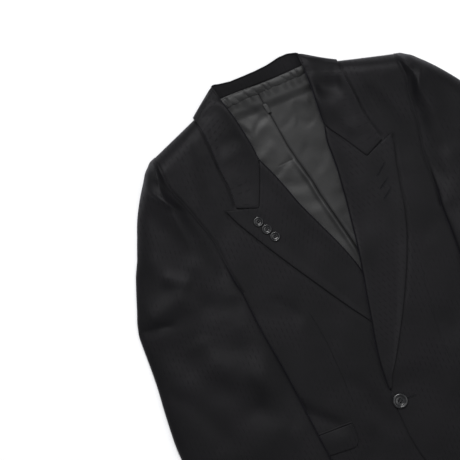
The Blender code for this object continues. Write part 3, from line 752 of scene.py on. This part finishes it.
weave_group = make_weave()
stripe_group = make_stripe()
cloud_group = make_cloud()
suiting = make_suiting()
satin = make_satin()
plastic = make_button_plastic()
thread = make_thread()
floor_finish = make_floor_finish()


# Making cloth


def only(*pieces):
    """Selects these pieces alone, the first of them active."""
    bpy.ops.object.select_all(action="DESELECT")
    for piece in pieces:
        piece.select_set(True)
    bpy.context.view_layer.objects.active = pieces[0]


def apply_modifier(piece, kind, **settings):
    modifier = piece.modifiers.new(kind.lower(), kind)
    for label, value in settings.items():
        setattr(modifier, label, value)
    only(piece)
    bpy.ops.object.modifier_apply(modifier=modifier.name)


def bevel(piece, width, degrees):
    angle = math.radians(degrees)
    apply_modifier(piece, "BEVEL", width=width * MM, segments=2, limit_method="ANGLE", angle_limit=angle)


def add_object(name, data):
    made = bpy.data.objects.new(name, data)
    bpy.context.scene.collection.objects.link(made)
    return made


def settle(piece, node):
    """The piece rides with the garment and, where a node is named, stands for it."""
    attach(piece, "root")
    if node:
        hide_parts(node)


def cloth(name, node, point, us, vs, thick, material, upper=True):
    """A shell of cloth that stands for a node. point(u, v) gives a place and where it was on the flat cut."""
    places, cuts = zip(*(point(u, v) for v in vs for u in us))
    across = len(us)
    corners = [j * across + i for j in range(len(vs) - 1) for i in range(across - 1)]
    faces = [(corner, corner + 1, corner + across + 1, corner + across) for corner in corners]
    mesh = bpy.data.meshes.new(name)
    mesh.from_pydata(places, [], faces)
    layer = mesh.uv_layers.new(name="cut")
    for loop in mesh.loops:
        layer.data[loop.index].uv = cuts[loop.vertex_index]
    facing = sum(face.normal.z * face.area for face in mesh.polygons)
    if (facing > 0) != upper:
        mesh.flip_normals()
    mesh.materials.append(material)
    piece = add_object(name, mesh)
    mesh.shade_smooth()
    apply_modifier(piece, "SOLIDIFY", thickness=thick * MM, offset=-1)
    bevel(piece, BEVEL_SHARE * thick, 55)
    settle(piece, node)


# Cut pieces


def back_out(y):
    return side_out(y) if y <= BACK_EDGE[0][1] else look_up(BACK_EDGE, y, 0, by=1)


def make_back():
    ys = [lerp(SIDE_AND_ARMHOLE[0][1], NECK_POINT[1], t) for t in spread(110)]

    def point(u, y):
        out = back_out(y)
        neck = 2.5 * ease((y - 303) / 8) * (1 - abs(u))
        return laid(u * out, y + neck, neck_lift(abs(u) * out, y)), turned(u * out, y)

    us = [lerp(-1, 1, u) for u in spread(80)]
    cloth("back_cloth", "back", point, us, ys, BODY_CLOTH, suiting, upper=False)


def make_lining(side):
    ys = [lerp(LINING_HEM, 0, t) for t in spread(50)] + [lerp(0, LINING_TOP, t) for t in spread(130)[1:]]
    ys = sorted(ys + [lerp(*CROSS_SEAM, t) for t in spread(8)])

    def point(u, y):
        inner = look_up(CENTRE_BACK, y, 1) + side * 0.3
        outer = side * (back_out(y) - 7 - 6 * ease((y - 270) / 30))
        x = lerp(inner, outer, u)
        neck = 5 * ease((y - 300) / 9) * ease((78 - abs(x)) / 8)
        lift = neck_lift(abs(x) - 4 * LIFT_LEAD, y + LIFT_LEAD)
        seen = ease(y / 40) * ease((95 - abs(x)) / 30)
        detail = folds(LINING_FOLDS, x, y) + 0.34 * ripple(x, y, 34, 5) + 0.12 * ripple(x, y, 12, 6)
        from_seam = abs(x - inner)
        if side == RIGHT:
            detail += 1.5 * bell(from_seam - 4, 4) * ease((215 - y) / 60)
        detail -= seam_dip(from_seam, 0.9, 1.8)
        flare = max(0, 0.9 + detail) * seen
        pucker = 0.6 * (1 + math.sin(x * 0.52 + 2.2 * ripple(x, 0, 17, 8))) * ease((y - 290) / 15)
        z = BODY_CLOTH + SEAM + lift + LINING_CLOTH + flare + pucker * seen
        return laid(x, y + neck, z), turned(x, y)

    near = [k * 0.008 for k in range(16)]
    us = near + [lerp(0.128, 0.5, u) for u in spread(50)] + [lerp(0.5, 1, u) for u in spread(16)[1:]]
    name = SIDE_NAME[side]
    cloth("lining_" + name, "back_lining_" + name, point, us, ys, LINING_CLOTH, satin)


def dart(u, y, width):
    """The front dart: a fine sunk line, the cloth beside it a little proud."""
    run = ease((y + 190) / 24) * ease((-24 - y) / 14)
    away = (u - DART_SHARE) * width
    return run * (0.15 * bell(away, 6) - 0.55 * bell(away, 1))


def edge_dip(side, out, y):
    """How far the front gives way beside the free edges of the collar and the lapel that lie on it."""
    collar_edge = look_up(COLLAR, y, 4, by=5)
    lapel_edge = look_up(LAPELS[side][::-1], y, 2, by=3)
    beside_collar = seam_dip(out - collar_edge - 1, 1.6, 2.6) * ease((y - 156) / 12)
    beside_lapel = seam_dip(out - lapel_edge - 1.6, 1.5, 3.4) * ease((163 - y) / 6) * ease((y + 100) / 50)
    return beside_collar + beside_lapel


def make_front(side):
    rows = [inner + outer for inner, outer in zip(FRONT_EDGES[side] + NECKLINE, SIDE_AND_ARMHOLE)]

    def point(u, v):
        inner_out, inner_y, outer_out, outer_y = row_at(rows, v)
        inside_roll = ease(v - BREAK_ROW) * ease(NECKLINE_ROW - v)
        inner_out += inside_roll * (COLLAR_CLOTH + 3 * SEAM)
        out = lerp(inner_out, outer_out - SEAM, min(u, 1))
        y = lerp(inner_y, outer_y, min(u, 1))
        width = math.hypot(outer_out - inner_out, outer_y - inner_y)
        z = front_height(side, side * out, y) + dart(u, y, width) - edge_dip(side, out, y)
        if v > UNDERARM_ROW:
            z -= seam_dip((1 - u) * width, 1.1, 2)
        if u > 1 and v <= UNDERARM_ROW:
            z = RIM
        elif u > 1:
            out += SEAM / 2
        return laid(side * out, y, z), turned(side * out, y)

    us = sorted(set(spread(74)) | {DART_SHARE + k * 0.0026 for k in range(-5, 6)}) + [2]
    vs = row_steps(rows, GRID)
    name = SIDE_NAME[side]
    cloth("front_cloth_" + name, "front_" + name, point, us, vs, BODY_CLOTH, suiting)


def bent_row(roll, edge, bend, top_edge, u):
    """A point of a row that runs from the roll line to a free edge, by way of the gorge where bend is 1."""
    top_x = lerp(GORGE_TOP[0], top_edge[0], GORGE_SHARE)
    top_y = lerp(GORGE_TOP[1], top_edge[1], GORGE_SHARE)
    middle_x = lerp(roll[0], edge[0], GORGE_SHARE) + bend * (GORGE_END[0] - top_x)
    middle_y = lerp(roll[1], edge[1], GORGE_SHARE) + bend * (GORGE_END[1] - top_y)
    if u < GORGE_SHARE:
        t = u / GORGE_SHARE
        return lerp(roll[0], middle_x, t), lerp(roll[1], middle_y, t)
    t = (u - GORGE_SHARE) / (1 - GORGE_SHARE)
    return lerp(middle_x, edge[0], t), lerp(middle_y, edge[1], t)


def lapel_ripple(x, y):
    return 0.35 * ripple(x, y, 34, 11)


def lapel_face(side, x, y):
    """The upper face of a lapel, where fittings sit on it."""
    return front_height(side, x, y) + REST + COLLAR_CLOTH + lapel_ripple(x, y)


def lapel_puff(side, y):
    if side == RIGHT:
        return 2.4 * ease((y - 5) / 70)
    return 0.6 + 1.8 * ease((y + 170) / 80)


def make_lapel(side):
    rows = LAPELS[side]
    last = len(ROLLED_EDGE)
    us = [u - last for u in range(last)] + spread(34)[1:]

    def point(u, v):
        roll_out, roll_y, edge_out, edge_y, bend = row_at(rows, v)
        width = edge_out - roll_out
        narrow = min(1, 0.5 * width / ROLLED_EDGE[-1][0])
        in_from_roll, share = ROLLED_EDGE[u + last] if u < 0 else (ROLLED_EDGE[-1][0], 1)
        in_from_roll = lerp(in_from_roll * narrow, width, max(u, 0))
        seam = SEAM * max(0, 1 - v)
        out, y = bent_row((roll_out, roll_y), (edge_out, edge_y), bend, rows[0][2:4], in_from_roll / width)
        out, y = out - 0.3 * seam * bend, y - seam
        x = side * out
        top = front_height(side, x, y) + REST + COLLAR_CLOTH + lapel_puff(side, y) * bell(in_from_roll, 16)
        top += lapel_ripple(x, y) * min(1, in_from_roll / 12, 3 * (1 - max(u, 0)))
        top += LAPEL_EDGE_LIFT * ease((max(u, 0) - 0.75) / 0.25) * ease(width / 30)
        top -= seam_dip(v * 13, 0.5, 2) * ease((0.62 - in_from_roll / width) / 0.06)
        low = front_height(side, x, y) - BODY_CLOTH
        return laid(x, y, lerp(low, top, share)), turned(x, y, LAPEL_GRAIN[side])

    vs = row_steps(rows, 3)
    name = SIDE_NAME[side]
    cloth("lapel_cloth_" + name, "lapel_" + name, point, us, vs, COLLAR_CLOTH, suiting)


# How a section of the collar rolls over from stand to fall: how far in from the fold, share of the height
STAND_ROLL = ((2, 0), (1.6, 0.06), (0, 0.45), (0.7, 0.8), (2.6, 0.96))
# Then the share of the way from the fold to the free edge at each place of the fall
FALL_SHARES = (0.04, 0.12, 0.3, 0.45, 0.6, 0.75, 0.9, 1)
SECTION_KNOTS = 12  # the last of the 13 places that a section of the collar is worked out from
# Where on that scale the stand turns into the roll, and the roll into the fall
ROLL_START, FALL_START = 1.5, 5.5
SPAN_SECTION = 20  # the section that the collar's width on the cut is measured on


def collar_place(row, side, s):
    """A place on a section that lies on the front: s runs from 0 at the neck seam to 12 at the free edge."""
    seam, fold, edge, bend = row[0:2], row[2:4], row[4:6], row[6]
    stand_up = COLLAR_STANDS[side] * ease((fold[1] - 214) / 50)
    if s <= ROLL_START:
        share = s * 0.5
        out, y = lerp(seam[0], fold[0] + 2, share), lerp(seam[1], fold[1], share)
        return side * out, y, body_height(side * out, y) - BODY_CLOTH
    if s < FALL_START:
        inwards, share = between(STAND_ROLL, s - ROLL_START)
        ground = body_height(side * fold[0], fold[1])
        z = lerp(ground - BODY_CLOTH, ground + REST + COLLAR_CLOTH + 2 + stand_up, share)
        return side * (fold[0] + inwards), fold[1] - inwards * 0.4 * bend, z
    share = between([(value,) for value in FALL_SHARES], s - FALL_START + 0.5)[0]
    out, y = bent_row(fold, edge, bend, COLLAR[0][4:6], share)
    out, y = out + 0.3 * SEAM * bend, y + SEAM * bend
    from_fold = share * math.dist(fold, edge)
    soft = 2 * bell(from_fold, 16) + stand_up * bell(from_fold, 27)
    soft += COLLAR_EDGE_LIFT[side] * ease((share - 0.72) / 0.28)
    x = side * out
    crease = folds(COLLAR_CREASES, x, y) + 0.3 * ripple(x, y, 28, 13)
    crease = crease * ease(share * 4) * ease(4 * (1 - share))
    return x, y, body_height(x, y) + REST + COLLAR_CLOTH + soft + crease


def wrapped_place(row, side, s):
    """A place on a section round the neck, on the same scale as collar_place."""
    seam, fold, near, middle, edge = (Vector(p) for p in row)
    knots = [seam, seam.lerp(fold, 0.5), seam.lerp(fold, 0.86), fold + (fold - seam).normalized() * 0.4]
    for start, end, shares in (
        (fold, near, (0.25, 0.6, 1)), (near, middle, (0.5, 1)), (middle, edge, (0.33, 0.66, 0.88, 1)),
    ):
        knots += [start.lerp(end, share) for share in shares]
    x, y, z = between(knots, s)
    return side * x, y, z


def soften(grid, passes):
    """Evens out a grid of places, leaving its border where it is."""
    for _ in range(passes):
        before = [list(row) for row in grid]
        for j in range(1, len(grid) - 1):
            for i in range(1, len(grid[0]) - 1):
                around = before[j - 1][i] + before[j + 1][i] + before[j][i - 1] + before[j][i + 1]
                grid[j][i] = before[j][i].lerp(around / 4, 0.5)
    return grid


def make_collar():
    columns = [k * 0.25 for k in range(4 * SECTION_KNOTS + 1)]
    halves = []
    for side in (RIGHT, LEFT):
        sections = []
        for v in row_steps(COLLAR, 3.2, ends=((4, 5), (2, 3))):
            row = row_at(COLLAR, v)
            sections.append([Vector(collar_place(row, side, s)) for s in columns])
        wraps = [[Vector(wrapped_place(row, side, s)) for s in columns] for row in COLLAR_WRAP]
        for before, after in zip([sections[-1]] + wraps, wraps):
            for t in (0.2, 0.4, 0.6, 0.8, 1):
                sections.append([a.lerp(b, t) for a, b in zip(before, after)])
        halves.append(sections)
    grid = soften(halves[0] + halves[1][-2::-1], 2)
    lengths = run_along([section[len(columns) // 2] for section in grid])
    span = run_along(grid[SPAN_SECTION])

    def point(u, v):
        return laid(*grid[v][u]), (lengths[v] * MM, span[u] * MM)

    us, vs = range(len(columns)), range(len(grid))
    cloth("collar_cloth", "collar", point, us, vs, COLLAR_CLOTH, suiting)


def make_upper_sleeve(side):
    middles = [((row[0] + row[2]) / 2, (row[1] + row[3]) / 2) for row in UPPER_SLEEVE]
    lengths = [(length,) for length in run_along(middles)]

    def point(u, v):
        inner_out, inner_y, outer_out, outer_y, arch, folded = row_at(UPPER_SLEEVE, v)
        across = min(max(u, 0), 1)
        out, y = lerp(inner_out, outer_out, across), lerp(inner_y, outer_y, across)
        width = math.hypot(outer_out - inner_out, outer_y - inner_y)
        cut = (side * (across - 0.5) * width * MM, -between(lengths, v)[0] * MM)
        seam_z = front_height(side, side * (inner_out - 2 * SEAM), inner_y)
        fold_z = sleeve_rest(inner_out, min(inner_y, 36)) + REST + BODY_CLOTH + REST
        inner_z = lerp(seam_z, max(fold_z, seam_z), ease((96 - inner_y) / 60))
        if u < 0:
            return laid(side * (out - 0.3 * (1 - folded)), y, inner_z - seam_dip(0, 0.5)), cut
        if u > 1:
            return laid(side * out, y, RIM), cut
        outer_round = rounded(1 - across, 0.3)
        inner_round = lerp(ease(across / 0.3), rounded(across, 0.26), folded)
        level = lerp(inner_z + 1.4 * folded, RIM + 1.4, across ** lerp(1.5, 1, folded))
        rise = min(outer_round, inner_round)
        detail = folds(SLEEVE_FOLDS + SLEEVE_CREASES[side], out, y)
        detail += 0.8 * ripple(side * out, y, 58, 21) + 0.3 * ripple(side * out, y, 24, 22)
        z = level + arch * rise + detail * min(1, rise * 1.3)
        z -= (1 - folded) * seam_dip(across * width, 0.9, 2)
        return laid(side * out, y, z), cut

    us = [-1, 0, 0.01, 0.02] + [lerp(0.03, 0.97, t) for t in spread(62)] + [0.98, 0.99, 1, 2]
    vs = row_steps(UPPER_SLEEVE, GRID)
    name = f"sleeve_{SIDE_NAME[side]}_upper"
    cloth(name + "_cloth", name, point, us, vs, BODY_CLOTH, suiting)


def make_under_sleeve(side):
    def point(u, v):
        inner_out, inner_y, outer_out, outer_y = row_at(UNDER_SLEEVE, v)
        out = lerp(inner_out + 0.6, outer_out - 0.8, u)
        y = lerp(inner_y, outer_y, u)
        return laid(side * out, y, sleeve_rest(out, y)), turned(side * out, y)

    vs = row_steps(UNDER_SLEEVE, 6)
    name = f"sleeve_{SIDE_NAME[side]}_under"
    cloth(name + "_cloth", name, point, spread(40), vs, BODY_CLOTH, suiting, upper=False)


def flap_top(out):
    return FLAP_TOP + FLAP_SLOPE * (out - FLAP_FRONT)


def make_flap(side):
    def point(u, v):
        out, low_y = row_at(FLAP, u)
        y = lerp(flap_top(out), low_y, v)
        x = side * out
        swell = 0.5 * math.sin(math.pi * v) * ease((out - FLAP_FRONT) / 12)
        return laid(x, y, front_height(side, x, y) + REST + FLAP_CLOTH + swell), turned(x, y)

    us = [k / 10 for k in range(31)] + [3 + k / 8 for k in range(1, 25)]
    name = "pocket_flap_" + SIDE_NAME[side]
    cloth(name + "_cloth", name, point, us, spread(16), FLAP_CLOTH, suiting)


def make_jet(side):
    """The folded strip of cloth that the pocket flap hangs from."""
    def point(u, v):
        out = lerp(FLAP_FRONT - 1.5, FLAP[-1][0], u)
        y = flap_top(out) + 3.4 - 3.2 * v
        x = side * out
        crown = 0.5 * math.sqrt(max(0, 1 - (2 * v - 1) ** 2))
        return laid(x, y, front_height(side, x, y) + 0.5 + crown), turned(x, y, 90)

    name = "pocket_jet_" + SIDE_NAME[side]
    cloth(name, None, point, spread(40), spread(8), 0.5, suiting)


STRIP_END = 70


def make_neck_strip():
    """The gathered satin strip over the seam of the lining and the collar's stand."""
    def point(u, v):
        x = lerp(-STRIP_END, STRIP_END, u)
        wave = 1.2 * ripple(x, 0, 9, 31) + 0.8 * ripple(x, 0, 26, 32)
        y = 308 + 2.5 * x / 56 + lerp(-6.4, 6.8, v) + wave * (1 - v)
        curl = 2.2 * ease((-54 - x) / 7)
        crown = 1.3 * math.sqrt(max(0, 1 - (1.7 * v - 0.85) ** 2))
        gather = abs(math.sin(x * math.pi / 15 + 3.4 * ripple(x, 0, 26, 33) + 0.7 * v)) ** 0.5
        z = 7 + 1.2 * v + crown + 1.2 * gather * (0.35 + 0.65 * math.sin(math.pi * v)) + curl
        return laid(x, y, z), turned(x, y, 90)

    cloth("neck_strip", None, point, spread(250), spread(12), 0.7, satin)


TAB_SIDES, TAB_ENDS = (-15, -8.6), (285, 269)


def make_pleat_tab():
    """The small stitched tab at the top of the back pleat."""
    def point(u, v):
        x = lerp(*TAB_SIDES, u) + v
        y = lerp(*TAB_ENDS, v)
        z = 8.4 + 0.35 * math.sin(math.pi * u) + 0.5 * v - 1.1 * ease((0.16 - v) / 0.16)
        return laid(x, y, z), turned(x, y)

    cloth("pleat_tab", None, point, spread(10), spread(16), 0.6, satin)


# Buttons and thread


# Half of a button's section, from its back up and in to the middle: share of the radius and of the height
BUTTON_SECTION = (
    (0.8, 0), (0.93, 0.14), (0.99, 0.38), (1, 0.58), (0.975, 0.76), (0.93, 0.9), (0.87, 0.98), (0.8, 0.99),
    (0.73, 0.92), (0.67, 0.76), (0.62, 0.58), (0.575, 0.47), (0.53, 0.43), (0.3, 0.41), (0.1, 0.4),
)


def seat(surface, x, y, across):
    """Where a fitting sits on a surface: its place, and the turn that lays it along the cloth."""
    reach = across / 2
    slope_x = (surface(x + reach, y) - surface(x - reach, y)) / across
    slope_y = (surface(x, y + reach) - surface(x, y - reach)) / across
    normal = Vector((-slope_x, -slope_y, 1)).normalized()
    ring = [math.tau * k / 8 for k in range(8)]
    over = max(
        surface(x + reach * math.cos(a), y + reach * math.sin(a))
        - reach * (slope_x * math.cos(a) + slope_y * math.sin(a))
        for a in ring
    )
    place = laid(x, y, max(over, surface(x, y)))
    return place, Vector((0, 0, 1)).rotation_difference(normal).to_euler()


def place_piece(piece, place, lean, turn):
    """Turns a piece made at the origin about its own axis, lays it along the cloth and moves it there."""
    only(piece)
    piece.rotation_euler = (0, 0, turn)
    bpy.ops.object.transform_apply()
    piece.rotation_euler = lean
    piece.location = place
    bpy.ops.object.transform_apply()


def sew(strands, name, place, lean, turn):
    """Joins lengths of thread into one piece and lays it on the cloth."""
    only(*strands)
    bpy.ops.object.join()
    bpy.ops.object.shade_smooth()
    piece = strands[0]
    piece.name = name
    piece.data.materials.clear()
    piece.data.materials.append(thread)
    place_piece(piece, place, lean, turn)
    settle(piece, None)


def strand(start, end, rise, thickness):
    """A length of thread that arches from start to end."""
    bpy.ops.curve.primitive_bezier_curve_add()
    piece = bpy.context.object
    low, high = piece.data.splines[0].bezier_points
    for bezier, place in ((low, start), (high, end)):
        bezier.handle_left_type = bezier.handle_right_type = "FREE"
        bezier.co = Vector(place) * MM
        bezier.handle_left = bezier.handle_right = bezier.co + Vector((0, 0, rise * MM))
    piece.data.resolution_u = 9
    piece.data.bevel_depth = thickness / 2 * MM
    piece.data.bevel_resolution = 2
    piece.data.use_fill_caps = True
    bpy.ops.object.convert(target="MESH")
    return bpy.context.object


def make_button(name, node, surface, size, x, y, turn):
    thick, spacing = size["thick"], size["holes"]
    first = BUTTON_SECTION[0][0] * size["across"] / 2
    bpy.ops.mesh.primitive_circle_add(vertices=BUTTON_FACETS, radius=first * MM, fill_type="NGON")
    piece = bpy.context.object
    bpy.ops.object.mode_set(mode="EDIT")
    bpy.ops.mesh.select_all(action="SELECT")
    for (r0, h0), (r1, h1) in zip(BUTTON_SECTION, BUTTON_SECTION[1:]):
        bpy.ops.mesh.extrude_region_move(TRANSFORM_OT_translate={"value": (0, 0, (h1 - h0) * thick * MM)})
        bpy.ops.transform.resize(value=(r1 / r0, r1 / r0, 1))
    bpy.ops.mesh.select_all(action="SELECT")
    bpy.ops.mesh.normals_make_consistent(inside=False)
    bpy.ops.object.mode_set(mode="OBJECT")
    for cx in (-0.5, 0.5):
        for cy in (-0.5, 0.5):
            bpy.ops.mesh.primitive_cylinder_add(
                vertices=HOLE_FACETS, radius=size["hole"] / 2 * MM, depth=4 * thick * MM,
                location=(cx * spacing * MM, cy * spacing * MM, 0),
            )
            cutter = bpy.context.object
            apply_modifier(piece, "BOOLEAN", operation="DIFFERENCE", object=cutter)
            bpy.data.objects.remove(cutter, do_unlink=True)
    bevel(piece, 0.14, 50)
    bpy.ops.object.shade_smooth_by_angle(angle=math.radians(40))
    piece.name = name
    piece.data.materials.append(plastic)
    place, lean = seat(surface, x, y, size["across"])
    place.z += SEAM * MM
    place_piece(piece, place, lean, turn)
    settle(piece, node)

    strands = []
    arch = (0.5 * thick + THREAD_DEPTH + 0.35) / ARCH_SHARE
    for bar in (-0.5, 0.5):
        for lane in (-0.34, 0, 0.34):
            across = bar * spacing + lane
            reach = spacing / 2 + 0.12 * abs(lane)
            low, high = (-reach, across, -THREAD_DEPTH), (reach, across, -THREAD_DEPTH)
            strands.append(strand(low, high, arch + THREAD_DEPTH, 0.36))
    sew(strands, name + "_thread", place, lean, turn)


def make_buttonhole(name, surface, start, end):
    """A slit bound by close stitches, with a bar of thread at each end."""
    middle = ((start[0] + end[0]) / 2, (start[1] + end[1]) / 2)
    length = math.dist(start, end)
    turn = math.atan2(end[1] - start[1], end[0] - start[0])
    count = round(length / STITCH)
    stitch = strand((0, 0.12, -0.25), (0, 1.55, -0.3), 0.95, 0.5)
    stitch.location.x = -length / 2 * MM
    only(stitch)
    bpy.ops.object.transform_apply()
    apply_modifier(
        stitch, "ARRAY", count=count, use_relative_offset=False, use_constant_offset=True,
        constant_offset_displace=(STITCH * MM, 0, 0),
    )
    apply_modifier(stitch, "MIRROR", use_axis=(False, True, False), use_mirror_merge=False)
    bars = [stitch]
    for end_sign in (-1, 1):
        for lane in (0, 0.45):
            at = end_sign * (length / 2 + 0.2 + lane)
            bars.append(strand((at, -1.6, -0.3), (at, 1.6, -0.3), 1.15, 0.5))
    place, lean = seat(surface, *middle, length)
    place.z = laid(*middle, surface(*middle)).z
    sew(bars, name, place, lean, turn)


make_back()
for wearer_side in (RIGHT, LEFT):
    make_lining(wearer_side)
    make_front(wearer_side)
    make_lapel(wearer_side)
    make_upper_sleeve(wearer_side)
    make_under_sleeve(wearer_side)
    make_flap(wearer_side)
    make_jet(wearer_side)
make_collar()
make_neck_strip()
make_pleat_tab()

over_front = partial(front_height, LEFT)
over_lapel, under_lapel = partial(lapel_face, LEFT), partial(lapel_face, RIGHT)
make_button("front_button_turned", "button_front", over_front, FRONT_BUTTON, *FRONT_BUTTON["at"])
for number, at in enumerate(LAPEL_BUTTONS, 1):
    make_button(f"lapel_button_{number}_turned", f"button_lapel_{number}", under_lapel, LAPEL_BUTTON, *at)
for hole in (
    ("lapel_buttonhole_1", over_lapel, (93, 118), (111, 131)),
    ("lapel_buttonhole_2", over_lapel, (89, 98), (110, 111)),
    ("lapel_buttonhole_3", over_lapel, (88, 82), (107, 94)),
    ("front_buttonhole", over_front, (-14, -204), (12, -205)),
):
    make_buttonhole(*hole)


# Floor, light and camera


def make_floor():
    bpy.ops.mesh.primitive_plane_add(size=FLOOR_SIZE, location=(0, 0, -FLOOR_GAP))
    floor = bpy.context.object
    floor.name = "studio_floor"
    floor.data.materials.append(floor_finish)


def add_light(name, up, across, height, size, power):
    lamp = bpy.data.lights.new(name, "AREA")
    lamp.shape = "RECTANGLE"
    lamp.size, lamp.size_y = size
    lamp.energy = power
    light = add_object(name, lamp)
    light.location = PICTURE_MIDDLE + UP * up + ACROSS * across + Vector((0, 0, height))
    light.rotation_euler = (PICTURE_MIDDLE - light.location).to_track_quat("-Z", "Y").to_euler()
    light.visible_camera = False


VIEW_TURN = math.radians(24)  # the picture's up leans this far from the garment's length
UP = Vector((math.sin(VIEW_TURN), math.cos(VIEW_TURN), 0))
ACROSS = Vector((math.cos(VIEW_TURN), -math.sin(VIEW_TURN), 0))
PICTURE_MIDDLE = Vector((-0.1416, 0.1327, 0))
PICTURE_WIDTH = 0.69
LENS = 260
SENSOR = 36
FLOOR_SIZE, FLOOR_GAP = 14, 0.0004
# Area lights: how far up, across and above the middle of the picture, size in metres, watts
LIGHTS = (
    ("top", 1.08, -0.32, 2.1, (0.9, 0.7), 45),
    ("corner", 0.8, -1.25, 1.9, (0.7, 0.7), 10),
    ("fill", -0.4, 1.9, 2.4, (2.4, 2.4), 26),
)


def make_camera():
    camera = add_object("camera", bpy.data.cameras.new("camera"))
    camera.data.lens = LENS
    camera.data.sensor_width = SENSOR
    camera.location = PICTURE_MIDDLE + Vector((0, 0, PICTURE_WIDTH * LENS / SENSOR))
    camera.rotation_euler = (0, 0, -VIEW_TURN)
    camera.data.clip_end = 60
    bpy.context.scene.camera = camera


make_floor()
make_camera()
for lamp_row in LIGHTS:
    add_light(*lamp_row)

world = bpy.data.worlds.new("studio")
world.use_nodes = True
sky = world.node_tree.nodes["Background"].inputs
sky["Color"].default_value = (0.95, 0.97, 1, 1)
sky["Strength"].default_value = 0.32
bpy.context.scene.world = world
bpy.context.scene.view_settings.view_transform = "Standard"
